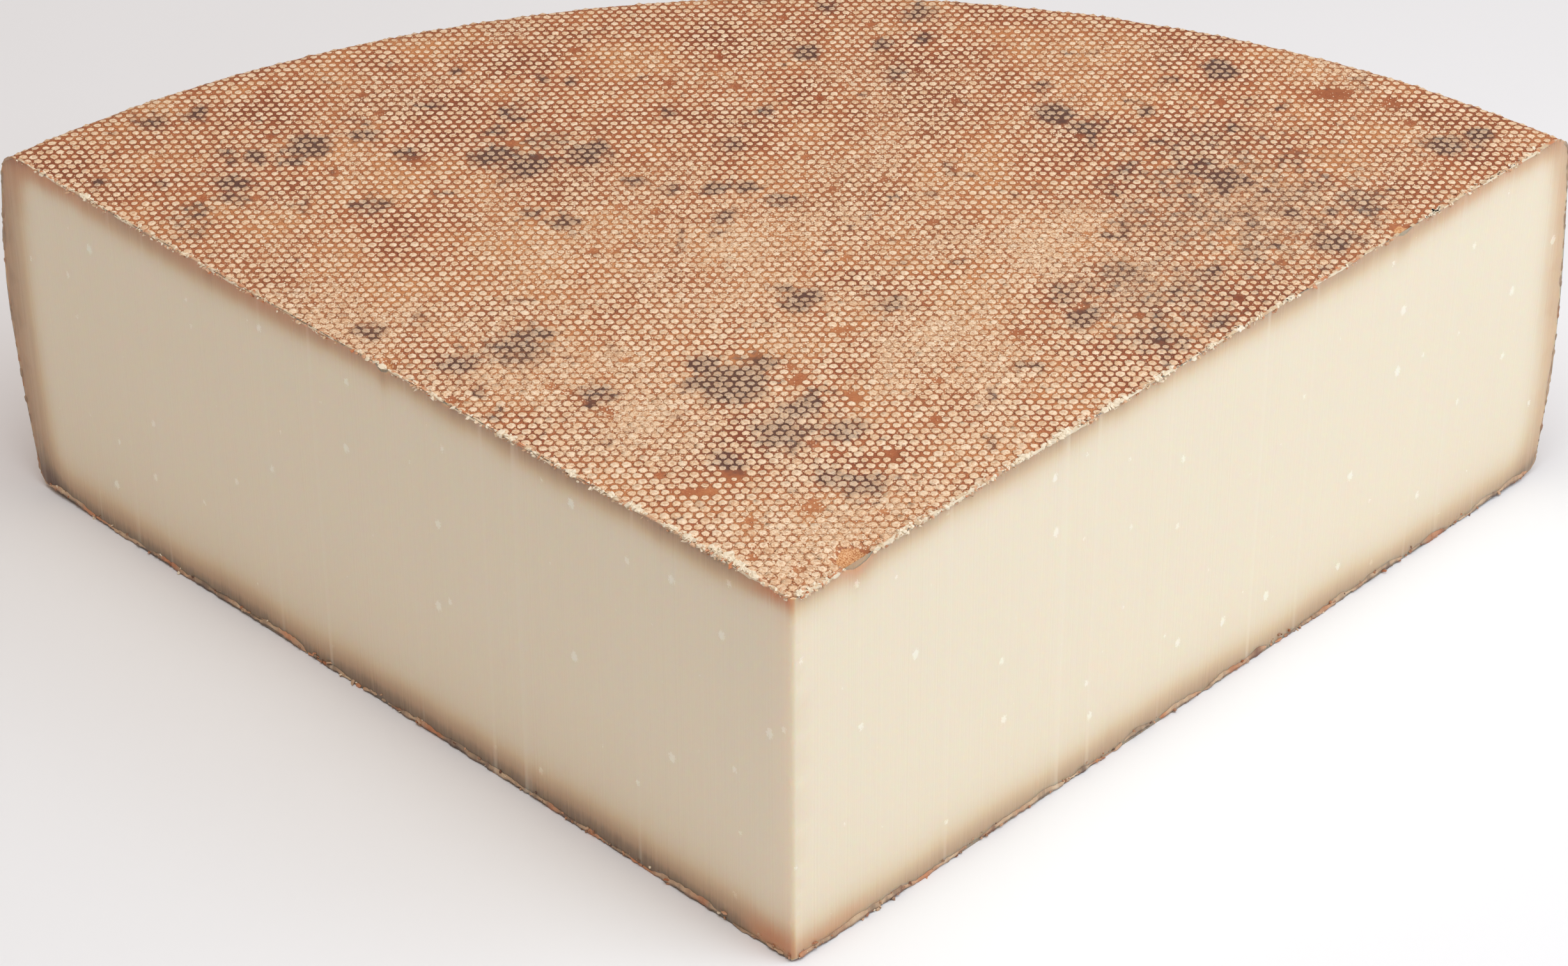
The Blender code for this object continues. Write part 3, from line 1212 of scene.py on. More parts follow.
@dataclass(frozen=True)
class TornEdges:
    """Ribbons that the wire smeared along the cuts' edges, and the flakes that cling there.

    Along the top it is a lip of rind and a burr of pale paste, and along the heel and the base a
    lip of crust. All of them are small closed solids, half sunk in the surface.
    """

    skin: WheelSkin
    seed: int = 23
    step: float = 0.5  # mm along a ribbon
    top_crumbs: int = 900  # on each side
    base_crumbs: int = 260
    flake_sides: int = 5
    smallest: float = 0.18  # mm from a flake's middle to its rim
    largest: float = 0.85
    clump_growth: float = 1.35
    # Browning of the flakes, each with its share of them.
    top_browning: tuple[tuple[float, float], ...] = (
        (0.02, 0.2), (0.12, 0.25), (0.3, 0.4), (0.55, 0.15)
    )
    base_browning: tuple[tuple[float, float], ...] = (
        (0.1, 0.1), (0.5, 0.25), (0.7, 0.4), (0.95, 0.25)
    )

    def skin_line(self, side: Side, spread: Values, lift: float) -> Points:
        """The skin's edge along a cut.

        Args:
            side: The cut face.
            spread: Distances from the wheel's axis on the flat mat, in mm.
            lift: How far the line stands out from the skin, in mm.

        Returns:
            Distance out and height, one row a place.
        """
        across = spread * DIAGONAL
        line = self.skin.wrap(side.value * across, across, np.full(np.shape(spread), lift))
        return np.column_stack([np.hypot(line[:, 0], line[:, 1]), line[:, 2]])

    @staticmethod
    def nicked(side: Side, out: Values) -> Values:
        """How deeply the top's edge is nicked at distances out from the tip."""
        return cover_all(NICKS, side.value * out * DIAGONAL, out * DIAGONAL, NICK_RAGGED)

    @staticmethod
    def pick(rng: np.random.Generator, choices: tuple[tuple[float, float], ...]) -> float:
        """Draws one value from pairs of a value and its share."""
        return rng.choice([value for value, _ in choices], p=[share for _, share in choices])

    def stand_off(self, side: Side, spot: Points, proud: Values) -> Points:
        """Places on or off a cut face.

        Args:
            side: The cut face.
            spot: Distance out and height, one row a place.
            proud: How far each place stands out of the face.

        Returns:
            One point a row.
        """
        out, height = np.atleast_2d(spot).T
        x = side.value * DIAGONAL * (out + proud)
        return np.column_stack([x, DIAGONAL * (out - proud), height])

    def add_ribbon(
        self, bench: bmesh.types.BMesh, side: Side, line: Points, kind: Ribbon, seed: int
    ) -> None:
        """Adds a ribbon along an edge, in as many lengths as it comes in.

        Args:
            bench: The mesh being made.
            side: The cut face.
            line: The edge as distance out and height, with the paste on its right-hand side.
            kind: The ribbon's sizes and colours.
            seed: The number its unevenness starts from.
        """
        layer = bench.verts.layers.float_vector[CUT_STATE]
        along = np.append(0.0, np.cumsum(np.hypot(*np.diff(line, axis=0).T)))
        zero = np.full_like(along, 7.3 * side.value)
        ahead = np.gradient(line, axis=0)
        ahead /= np.maximum(np.hypot(*ahead.T), 1e-9)[:, None]
        inward = np.column_stack([ahead[:, 1], -ahead[:, 0]])
        ragged = Ripple(1.7, seed).at(along, zero) + Ripple(0.9, seed + 1).at(along, zero)
        width = kind.width + kind.width_swing * Ripple(kind.run, seed + 2).at(along, zero)
        width = np.clip(width + kind.ragged * ragged, 0.0, kind.widest)
        width = width * (1.0 - kind.wane * smooth_step(30.0, 150.0, line[:, 0]))
        nicked = smooth_step(0.3, 0.8, self.nicked(side, line[:, 0]))
        width = width * (1.0 - min(2.5 * kind.wane, 1.0) * nicked)
        thick = kind.thickness * (0.6 + 0.4 * Ripple(1.5, seed + 3).at(along, zero))
        thick = thick * np.clip(width / 0.6, 0.2, 1.0)
        line = line - inward * (kind.overhang * ragged)[:, None]
        low, high = kind.browning
        patches = Ripple(kind.patch, seed + 4).at(along, zero)
        shade = low + (high - low) * (0.5 + 0.5 * patches + 0.2 * ragged)
        warmth = kind.warmth * smooth_step(-0.1, 0.6, Ripple(kind.patch, seed + 5).at(along, zero))

        flat = np.ones_like(thick)
        section = [(share, part * thick) for share, part in RIBBON_SECTION]
        rings = [
            self.stand_off(side, line + inward * (share * width)[:, None], proud)
            for share, proud in ((0.0, -kind.root * flat), *section, (1.0, RIBBON_TOE * flat))
        ]
        rim = (kind.rim_browning, kind.rim_browning, 0.0, 0.0, 0.0)
        present = width > THINNEST_RIBBON
        present &= np.append(False, present[:-1]) | np.append(present[1:], False)
        last = None
        for station in range(len(along)):
            if not present[station]:
                self.cap(bench, last)
                last = None
                continue
            ring = [bench.verts.new(points[station]) for points in rings]
            for corner, extra in zip(ring, rim):
                corner[layer] = (shade[station] + extra, warmth[station], line[station, 0])
            if last is None:
                self.cap(bench, ring)
            else:
                for k in range(len(ring)):
                    n = (k + 1) % len(ring)
                    bench.faces.new((last[k], last[n], ring[n], ring[k]))
            last = ring
        self.cap(bench, last)

    @staticmethod
    def cap(bench: bmesh.types.BMesh, ring: list[bmesh.types.BMVert] | None) -> None:
        """Closes the end of a ribbon, if there is one."""
        if ring is not None:
            bench.faces.new(ring)

    def add_crumb(
        self,
        bench: bmesh.types.BMesh,
        rng: np.random.Generator,
        place: Points,
        look: tuple[float, float, float],
        growth: float = 1.0,
    ) -> None:
        """Adds one crumb: a flat, jagged little flake, lying more or less level.

        Args:
            bench: The mesh being made.
            rng: The random numbers.
            place: Where it sits.
            look: Browning, warmth and distance from the tip.
            growth: How much larger than the rest it is.
        """
        layer = bench.verts.layers.float_vector[CUT_STATE]
        size = growth * (self.smallest + (self.largest - self.smallest) * rng.random() ** 2.2)
        tilt = rng.normal(0.0, 0.45, 2)
        turn = Euler((tilt[0], tilt[1], rng.uniform(0.0, math.tau))).to_matrix()
        extent = size * rng.uniform((0.6, 0.5, 0.2), (1.5, 1.0, 0.5))
        count = self.flake_sides
        around = np.arange(count) * math.tau / count
        rings = [
            np.column_stack([reach * np.cos(around), reach * np.sin(around), np.full(count, level)])
            for reach, level in ((0.75, -0.8), (1.0, 0.1), (0.6, 0.9))
        ]
        spots = np.vstack(rings) + rng.uniform(-0.3, 0.3, (3 * count, 3))
        corners = []
        for spot in (spots * extent) @ np.array(turn).T + place:
            corner = bench.verts.new(spot)
            corner[layer] = look
            corners.append(corner)
        low, middle, high = (corners[k * count : (k + 1) * count] for k in range(3))
        for below, above in ((low, middle), (middle, high)):
            for k in range(count):
                n = (k + 1) % count
                bench.faces.new((below[k], below[n], above[n], above[k]))
        bench.faces.new(low[::-1])
        bench.faces.new(high)

    def add_crumbs(self, bench: bmesh.types.BMesh, side: Side) -> None:
        """Scatters one side's flakes along its top and lower edges, in loose groups and clumps.

        Args:
            bench: The mesh being made.
            side: The cut face.
        """
        rng = np.random.default_rng(self.seed + side.value)
        spots = self.skin.top_edge * rng.random(6 * self.top_crumbs) ** 1.35
        presence = Ripple(8.0, 100 + side.value).at(spots, 0.0 * spots)
        spots = spots[(presence > rng.uniform(-1.1, 0.9, len(spots))) & (spots > 2.0)]
        spots = spots[self.nicked(side, spots) < 0.4]
        for spot in self.skin_line(side, spots[: self.top_crumbs], 0.0):
            proud = 0.35 - abs(rng.normal(0.0, 0.75))
            spot[1] -= rng.uniform(0.0, 0.9) if proud > 0.0 else 0.0
            place = self.stand_off(side, spot, proud)[0]
            brown = self.pick(rng, self.top_browning)
            self.add_crumb(bench, rng, place, (brown, rng.uniform(0.0, 1.2), spot[0]))
        for clump in CLUMPS[side]:
            along = np.abs(rng.normal(clump.x, 0.5 * clump.size, int(clump.strength))) + 0.8
            for spot in self.skin_line(side, along, 0.15):
                proud = 0.45 - clump.y - abs(rng.normal(0.0, 0.5))
                place = self.stand_off(side, spot, proud)[0]
                look = (rng.uniform(0.0, 0.12), 0.1, spot[0])
                self.add_crumb(bench, rng, place, look, self.clump_growth)
        for out in rng.uniform(1.5, self.skin.foot_reach_left - 3.0, self.base_crumbs):
            low = self.skin.lower_edge(side, np.array([out]))[0]
            spot = np.array([out, low + 1.9 * rng.random() ** 2])
            place = self.stand_off(side, spot, rng.uniform(-0.2, 0.35))[0]
            brown = self.pick(rng, self.base_browning)
            self.add_crumb(bench, rng, place, (brown, rng.uniform(0.0, 0.8), out))

    def build(self) -> bpy.types.Object:
        """Builds the ribbons and flakes as one object.

        Returns:
            The object, in metres, with the wheel's axis at its origin.
        """
        bench = bmesh.new()
        bench.verts.layers.float_vector.new(CUT_STATE)
        top = np.arange(2.5, self.skin.top_edge + 1.0, self.step)
        heel = np.arange(self.skin.top_edge + 1.0, self.skin.mat_end, self.step / 1.4)
        base = np.arange(self.skin.foot_reach_left - 2.0, 1.5, -self.step)
        for side in Side:
            lower = np.column_stack([base, self.skin.lower_edge(side, base)])
            self.add_ribbon(bench, side, self.skin_line(side, top, 0.04), RIND_LIP, 190)
            self.add_ribbon(bench, side, self.skin_line(side, top, -0.08), BURR, 200)
            self.add_ribbon(bench, side, self.skin_line(side, heel, -0.2), HEEL_CRUST, 210)
            self.add_ribbon(bench, side, lower, BASE_CRUST, 220)
            self.add_crumbs(bench, side)
        for corner in bench.verts:
            corner.co.z = min(max(corner.co.z, 0.0), self.skin.height)
        bmesh.ops.recalc_face_normals(bench, faces=bench.faces[:])
        bmesh.ops.scale(bench, vec=(MM, MM, MM), verts=bench.verts[:])
        mesh = bpy.data.meshes.new("cut_crumbs")
        bench.to_mesh(mesh)
        bench.free()
        piece = bpy.data.objects.new("cut_crumbs", mesh)
        bpy.context.scene.collection.objects.link(piece)
        return piece


@dataclass(frozen=True)
class RindMaps:
    """The patterns that the rind's finish is mixed from."""

    tone: Signal  # how pale a dot is
    ring: Signal  # how brown its middle is
    presence: Signal  # 1 in a whole dot, 0 in a missing one
    mould: Signal
    dust: Signal
    bare: Signal  # past 1 where the rind is torn open
    flakes: Signal  # four noises, from the finest
    outline: Signal
    patches: Signal
    clouds: Signal
    chance: Signal  # two random numbers for each little scale
    grit: Signal
    gaps: Signal  # distance from a scale's middle
    jag: Signal  # how ragged the dots are
    edge: Signal  # 0 in a dot's middle, 1 on its outline


@dataclass(frozen=True)
class RindGrowth:
    """What lies on the rind, as shares of the surface."""

    mouldy: Signal
    flaked: Signal
    pitted: Signal
    dull: Signal  # how far mould hides a dot


@dataclass(frozen=True)
class WashedRind:
    """Brine-washed rind pressed in a dimpled mat.

    Washing turns the grooves terracotta, while the raised dots dry to a pale waxy cream. Mould
    creeps along the grooves first, and flakes of dried paste catch in them.
    """

    name: str = "washed_mat_pressed_rind"
    grooves: tuple[str, str, str] = ("#8D4D33", "#AD6642", "#C98858")
    haze: str = "#CE9768"
    dots: tuple[str, str, str] = ("#DDB089", "#F1D1AD", "#FCE7CC")
    # Painted shade and grime: multiply colours for a dark band over each dot's outline, where it
    # meets the groove.
    outline_shade_and_grime: tuple[tuple[float, str], ...] = (
        (0.46, "#FFFFFF"),
        (0.60, "#F0E5D8"),
        (0.70, "#AA8A72"),
        (0.80, "#FFFFFF"),
    )
    pit: str = "#BC8A63"
    mould_groove: str = "#5A4039"
    mould_dot: str = "#AC917D"
    fuzz: str = "#B6A796"
    flakes: tuple[tuple[float, str], ...] = ((0.0, "#D5A880"), (1.0, "#F4DCBE"))
    grime: str = "#7A4936"
    torn: tuple[str, str, str] = ("#A9673C", "#D59C68", "#E9BE92")
    bare: str = "#AC6640"
    groove_roughness: float = 0.62
    dot_roughness: float = 0.5
    ior: float = 1.45
    flake_size: float = 0.42  # mm
    scale_size: float = 0.62  # mm, of the crisp little scales
    outline_size: float = 0.9  # mm, of the bumps in a dot's outline
    patch_size: float = 3.2  # mm
    cloud_size: float = 24.0  # mm
    dot_height: float = 0.14  # mm
    flake_height: float = 0.20  # mm
    relief: float = 0.55
    mould_cover: float = 0.48

    def build(self) -> bpy.types.Material:
        """Builds the material.

        Returns:
            The finished material.
        """
        material, tree, shader = new_material(self.name)
        add = partial(add_node, tree)
        maps = self.read(add)
        growth = self.grow(add, maps)
        groove = self.groove_colour(add, maps, growth)
        cream = self.dot_colour(add, maps, growth)

        inside = add(
            RANGE,
            {"Value": maps.edge, "From Min": 0.88, "From Max": 1.08, "To Min": 1.0, "To Max": 0.0},
            interpolation_type="SMOOTHSTEP",
        )
        dot = add(MATHS, {0: inside, 1: maps.presence}, operation="MULTIPLY")
        colour = add(MIX, {0: dot, 6: groove, 7: cream}, data_type="RGBA")
        # Painted shade and grime along each dot's outline: a dark band multiplied over the colour,
        # stronger in patches.
        span = add(MATHS, {0: maps.edge, 1: 0.667}, operation="MULTIPLY")
        rim = add(COLOURS, {0: span}, stops=self.outline_shade_and_grime)
        shade_grime_strength = add(
            MATHS, {0: maps.patches, 1: 2.0, 2: -0.25}, operation="MULTIPLY_ADD", use_clamp=True
        )
        shade_grime_strength = add(MATHS, {0: maps.presence, 1: shade_grime_strength}, operation="MULTIPLY")
        colour = add(MIX, {0: shade_grime_strength, 6: colour, 7: rim}, data_type="RGBA", blend_type="MULTIPLY")
        fuzzy = add(
            RANGE,
            {"Value": maps.patches, "From Min": 0.60, "From Max": 0.74, "To Max": growth.dull},
            interpolation_type="SMOOTHSTEP",
        )
        colour = add(MIX, {0: fuzzy, 6: colour, 7: self.fuzz}, data_type="RGBA")
        tree.links.new(colour.outputs[2], shader.inputs["Base Color"])

        sheen = add(
            RANGE,
            {"Value": dot, "To Min": self.groove_roughness, "To Max": self.dot_roughness},
        )
        tree.links.new(sheen.outputs[0], shader.inputs["Roughness"])
        grain = add(MATHS, {0: maps.flakes, 1: self.flake_height}, operation="MULTIPLY")
        grain = add(MATHS, {0: maps.chance, 1: maps.jag, 2: grain}, operation="MULTIPLY_ADD")
        height = add(MATHS, {0: dot, 1: self.dot_height, 2: grain}, operation="MULTIPLY_ADD")
        bump = add(BUMP, {"Height": height, "Distance": MM, "Strength": self.relief})
        tree.links.new(bump.outputs[0], shader.inputs["Normal"])
        shader.inputs["IOR"].default_value = self.ior
        return material

    def read(self, add: Adder) -> RindMaps:
        """Reads what is stored on the rind, and lays the noises that everything else is made from.

        Args:
            add: Adds a node to the material.

        Returns:
            The patterns.
        """
        spot = add(COORDINATES).outputs["Object"]
        place, draw, state = (
            add(SPLIT, {0: add(ATTRIBUTE, attribute_name=name).outputs["Vector"]}).outputs
            for name in (DOT_PLACE, DOT_DRAW, RIND_STATE)
        )
        flakes, outline, patches, clouds = (
            add(NOISE, {"Vector": spot, "Scale": 1 / (size * MM), "Detail": 3.0, "Roughness": 0.6})
            for size in (self.flake_size, self.outline_size, self.patch_size, self.cloud_size)
        )
        scales = add(CELLS, {"Vector": spot, "Scale": 1.0 / (self.scale_size * MM)})
        chance, grit, _ = add(SPLIT, {0: scales.outputs["Color"]}).outputs

        # The dot's own outline, roughened, and ragged where dust clings to it.
        across = add(VECTOR, {0: add(JOIN, {0: place[0], 1: place[1]})}, operation="LENGTH")
        share = add(MATHS, {0: across.outputs["Value"], 1: place[2]}, operation="DIVIDE")
        wobble = add(MATHS, {0: outline, 1: 0.55, 2: -0.50}, operation="MULTIPLY_ADD")
        wobble = add(MATHS, {0: flakes, 1: 0.45, 2: wobble}, operation="MULTIPLY_ADD")
        jag = add(MATHS, {0: state[1], 1: 0.48, 2: 0.12}, operation="MULTIPLY_ADD")
        centred = add(MATHS, {0: chance, 1: 0.5}, operation="SUBTRACT")
        wobble = add(MATHS, {0: centred, 1: jag, 2: wobble}, operation="MULTIPLY_ADD")
        edge = add(MATHS, {0: share, 1: wobble}, operation="ADD")
        return RindMaps(
            tone=draw[0],
            ring=draw[1],
            presence=draw[2],
            mould=state[0],
            dust=state[1],
            bare=state[2],
            flakes=flakes,
            outline=outline,
            patches=patches,
            clouds=clouds,
            chance=chance,
            grit=grit,
            gaps=scales.outputs["Distance"],
            jag=jag,
            edge=edge,
        )

    def grow(self, add: Adder, maps: RindMaps) -> RindGrowth:
        """Works out where mould, flakes and pits lie, as shares of the surface.

        Args:
            add: Adds a node to the material.
            maps: The rind's patterns.

        Returns:
            The shares.
        """
        creep = add(MATHS, {0: maps.patches, 1: 1.3, 2: maps.mould}, operation="MULTIPLY_ADD")
        creep = add(MATHS, {0: maps.flakes, 1: 0.5, 2: creep}, operation="MULTIPLY_ADD")
        mouldy = add(
            RANGE,
            {"Value": creep, "From Min": 1.08, "From Max": 1.75},
            interpolation_type="SMOOTHSTEP",
        )
        clean = add(MATHS, {0: 1.0, 1: mouldy}, operation="SUBTRACT")
        dusted = add(MATHS, {0: maps.dust, 1: 0.62, 2: maps.chance}, operation="MULTIPLY_ADD")
        dusted = add(MATHS, {0: maps.patches, 1: 0.7, 2: dusted}, operation="MULTIPLY_ADD")
        dusted = add(MATHS, {0: maps.gaps, 1: -0.95, 2: dusted}, operation="MULTIPLY_ADD")
        dusted = add(MATHS, {0: maps.bare, 1: -0.08, 2: dusted}, operation="MULTIPLY_ADD")
        flaked = add(
            RANGE,
            {"Value": dusted, "From Min": 0.92, "From Max": 1.06, "To Max": clean},
            interpolation_type="SMOOTHSTEP",
        )
        pitted = add(
            RANGE,
            {"Value": maps.grit, "From Min": 0.78, "From Max": 0.90, "To Max": maps.jag},
            interpolation_type="SMOOTHSTEP",
        )
        dull = add(MATHS, {0: mouldy, 1: self.mould_cover}, operation="MULTIPLY")
        return RindGrowth(mouldy=mouldy, flaked=flaked, pitted=pitted, dull=dull)

    def groove_colour(self, add: Adder, maps: RindMaps, growth: RindGrowth) -> Signal:
        """Mixes the colour between the dots, down to the torn paste in a nick.

        Args:
            add: Adds a node to the material.
            maps: The rind's patterns.
            growth: Where mould, flakes and pits lie.

        Returns:
            The colour.
        """
        cloudy = add(MATHS, {0: maps.clouds, 1: 0.7}, operation="MULTIPLY")
        cloudy = add(MATHS, {0: maps.flakes, 1: 0.4, 2: cloudy}, operation="MULTIPLY_ADD")
        groove = add(COLOURS, {0: cloudy}, stops=tuple(zip((0.43, 0.55, 0.67), self.grooves)))
        hazy = add(MATHS, {0: maps.dust, 1: maps.patches}, operation="MULTIPLY")
        worn = add(MATHS, {0: maps.bare, 1: 0.5}, operation="MULTIPLY")
        dark = add(MATHS, {0: growth.mouldy, 1: 0.92}, operation="MULTIPLY")
        flake = add(COLOURS, {0: maps.grit}, stops=self.flakes)
        ripped = add(MATHS, {0: maps.chance, 1: 0.5, 2: maps.bare}, operation="MULTIPLY_ADD")
        ripped = add(
            RANGE,
            {"Value": ripped, "From Min": 1.40, "From Max": 1.75},
            interpolation_type="SMOOTHSTEP",
        )
        fibre = add(COLOURS, {0: maps.flakes}, stops=tuple(zip((0.36, 0.5, 0.64), self.torn)))
        for share, over in (
            (hazy, self.haze),
            (worn, self.bare),
            (dark, self.mould_groove),
            (growth.pitted, self.grime),
            (growth.flaked, flake),
            (ripped, fibre),
        ):
            groove = add(MIX, {0: share, 6: groove, 7: over}, data_type="RGBA")
        return groove

    def dot_colour(self, add: Adder, maps: RindMaps, growth: RindGrowth) -> Signal:
        """Mixes the colour of the dots, with a browner middle on some.

        Args:
            add: Adds a node to the material.
            maps: The rind's patterns.
            growth: Where mould, flakes and pits lie.

        Returns:
            The colour.
        """
        mottle = add(MATHS, {0: maps.tone, 1: 0.16, 2: maps.flakes}, operation="MULTIPLY_ADD")
        mottle = add(MATHS, {0: maps.chance, 1: 0.16, 2: mottle}, operation="MULTIPLY_ADD")
        cream = add(COLOURS, {0: mottle}, stops=tuple(zip((0.46, 0.62, 0.80), self.dots)))
        middle = add(
            RANGE,
            {
                "Value": maps.edge,
                "From Min": 0.2,
                "From Max": 0.65,
                "To Min": maps.ring,
                "To Max": 0.0,
            },
            interpolation_type="SMOOTHSTEP",
        )
        middle = add(MATHS, {0: middle, 1: maps.outline}, operation="MULTIPLY")
        specked = add(
            RANGE,
            {"Value": maps.flakes, "From Min": 0.50, "From Max": 0.62, "To Max": growth.dull},
            interpolation_type="SMOOTHSTEP",
        )
        for share, over in (
            (growth.pitted, self.pit),
            (middle, self.pit),
            (growth.dull, self.mould_dot),
            (specked, self.mould_groove),
        ):
            cream = add(MIX, {0: share, 6: cream, 7: over}, data_type="RGBA")
        return cream


@dataclass(frozen=True)
class BoardWornRind:
    """Rind that lay on a spruce board and was worn smooth: browner, with faint marks of the mat."""

    name: str = "board_worn_rind"
    tones: tuple[str, str, str] = ("#8E5A40", "#AC7552", "#CB9C76")
    mark: str = "#E0BC95"
    ior: float = 1.45
    mark_size: float = 2.6  # mm between the mat's marks
    cloud_size: float = 16.0  # mm

    def build(self) -> bpy.types.Material:
        """Builds the material.

        Returns:
            The finished material.
        """
        material, tree, shader = new_material(self.name)
        add = partial(add_node, tree)
        spot = add(COORDINATES).outputs["Object"]
        clouds, grain = (
            add(NOISE, {"Vector": spot, "Scale": 1.0 / (size * MM), "Detail": 4.0, "Roughness": 0.6})
            for size in (self.cloud_size, 0.8)
        )
        marks = add(CELLS, {"Vector": spot, "Scale": 1.0 / (self.mark_size * MM)})
        base = add(COLOURS, {0: clouds}, stops=tuple(zip((0.35, 0.5, 0.65), self.tones)))
        faint = add(
            RANGE,
            {"Value": marks, "From Min": 0.2, "From Max": 0.5, "To Min": clouds, "To Max": 0.0},
            interpolation_type="SMOOTHSTEP",
        )
        colour = add(MIX, {0: faint, 6: base, 7: self.mark}, data_type="RGBA")
        tree.links.new(colour.outputs[2], shader.inputs["Base Color"])
        rough = add(RANGE, {"Value": grain, "To Min": 0.5, "To Max": 0.75})
        tree.links.new(rough.outputs[0], shader.inputs["Roughness"])
        relief = add(MATHS, {0: grain, 1: faint}, operation="ADD")
        height = add(MATHS, {0: relief, 1: 0.25}, operation="MULTIPLY")
        bump = add(BUMP, {"Height": height, "Distance": MM, "Strength": 0.8})
        tree.links.new(bump.outputs[0], shader.inputs["Normal"])
        shader.inputs["IOR"].default_value = self.ior
        return material


@dataclass(frozen=True)
class WireCutPaste:
    """Firm ripe cheese paste, cut with a wire.

    The wire leaves fine upright lines and a satin face. Light enters it a few millimetres, so
    its edges glow, and it darkens to brown where it dried under the rind. Small white crystals
    lie here and there.
    """

    name: str = "wire_cut_paste"
    browning: tuple[tuple[float, str], ...] = (
        (0.0, "#F3E8D2"),
        (0.1, "#EDE0C8"),
        (0.2, "#E6D5B8"),
        (0.3, "#DEC7A6"),
        (0.44, "#CEB394"),
        (0.55, "#C2A487"),
        (0.68, "#9C8670"),
        (0.8, "#7C6658"),
        (1.0, "#5C453B"),
    )
    stain: str = "#CC7F52"
    crystal: str = "#FFF8E8"
    smear: str = "#F6EDDA"
    ior: float = 1.46
    roughness: float = 0.42
    see_through: float = 0.9
    light_depth: tuple[float, float, float] = (1.0, 0.55, 0.28)
    depth_size: float = 4.5  # mm
    line_gap: float = 0.55  # mm between the wire's lines
    streak_gap: float = 7.0  # mm between pale smears
    crystal_gap: float = 17.0  # mm
    grain_size: float = 0.5  # mm

    def build(self) -> bpy.types.Material:
        """Builds the material.

        Returns:
            The finished material.
        """
        material, tree, shader = new_material(self.name)
        add = partial(add_node, tree)
        spot = add(COORDINATES).outputs["Object"]
        state = add(SPLIT, {0: add(ATTRIBUTE, attribute_name=CUT_STATE).outputs["Vector"]}).outputs
        shade, warmth, out = state[0], state[1], state[2]
        height = add(SPLIT, {0: spot}).outputs[2]
        grain, patches = (
            add(NOISE, {"Vector": spot, "Scale": 1.0 / (size * MM), "Detail": 3.0, "Roughness": 0.6})
            for size in (self.grain_size, 4.0)
        )
        sway = add(MATHS, {0: patches, 1: 0.6, 2: out}, operation="MULTIPLY_ADD")
        lines = add(
            NOISE,
            {"W": sway, "Scale": 1.0 / self.line_gap, "Detail": 3.0, "Roughness": 0.7},
            noise_dimensions="1D",
        )
        slow = add(MATHS, {0: height, 1: 0.09 / MM}, operation="MULTIPLY")
        drag = add(JOIN, {0: sway, 1: slow, 2: 0.0})
        streaks = add(NOISE, {"Vector": drag, "Scale": 1.0 / 1.1, "Detail": 3.0, "Roughness": 0.65})
        fine = add(MATHS, {0: lines, 1: 0.10, 2: -0.04}, operation="MULTIPLY_ADD")
        gain = add(MATHS, {0: streaks, 1: 0.26, 2: 0.88}, operation="MULTIPLY_ADD")
        browned = add(MATHS, {0: shade, 1: gain, 2: fine}, operation="MULTIPLY_ADD")
        colour = add(COLOURS, {0: browned}, stops=self.browning)
        near_skin = add(
            RANGE,
            {"Value": browned, "From Min": 0.08, "From Max": 0.42, "To Max": warmth},
            interpolation_type="SMOOTHSTEP",
        )
        streaky = add(
            NOISE,
            {"W": out, "Scale": 1.0 / self.streak_gap, "Detail": 2.0, "Roughness": 0.7},
            noise_dimensions="1D",
        )
        smeared = add(
            RANGE,
            {"Value": streaky, "From Min": 0.62, "From Max": 0.82, "To Max": 0.32},
            interpolation_type="SMOOTHSTEP",
        )
        colour = add(MIX, {0: smeared, 6: colour, 7: self.smear}, data_type="RGBA")
        stained = add(MATHS, {0: near_skin, 1: 0.8}, operation="MULTIPLY")
        colour = add(MIX, {0: stained, 6: colour, 7: self.stain}, data_type="RGBA")

        # Crystals: sparse spots, a little taller than wide, in metres along the face.
        along = add(MATHS, {0: out, 1: MM}, operation="MULTIPLY")
        upward = add(MATHS, {0: height, 1: 0.75}, operation="MULTIPLY")
        apart = add(SPLIT, {0: spot}).outputs[0]
        sides = add(MATHS, {0: apart}, operation="SIGN")
        along = add(MATHS, {0: sides, 1: 3.0, 2: along}, operation="MULTIPLY_ADD")
        flat = add(JOIN, {0: along, 1: upward, 2: 0.0})
        cells = add(
            CELLS,
            {"Vector": flat, "Scale": 1.0 / (self.crystal_gap * MM)},
            voronoi_dimensions="2D",
        )
        size = add(SPLIT, {0: cells.outputs["Color"]}).outputs[0]
        size = add(RANGE, {"Value": size, "From Min": 0.3, "To Min": 0.0, "To Max": 0.070})
        rough_edge = add(MATHS, {0: grain, 1: 0.16, 2: -0.08}, operation="MULTIPLY_ADD")
        near = add(MATHS, {0: cells.outputs["Distance"], 1: rough_edge}, operation="ADD")
        near = add(MATHS, {0: size, 1: near}, operation="SUBTRACT")
        whiteness = add(
            RANGE,
            {"Value": browned, "From Min": 0.10, "From Max": 0.40, "To Min": 0.85, "To Max": 0.0},
        )
        crystal = add(
            RANGE,
            {"Value": near, "From Min": -0.008, "From Max": 0.016, "To Max": whiteness},
            interpolation_type="SMOOTHSTEP",
        )
        colour = add(MIX, {0: crystal, 6: colour, 7: self.crystal}, data_type="RGBA")
        tree.links.new(colour.outputs[2], shader.inputs["Base Color"])

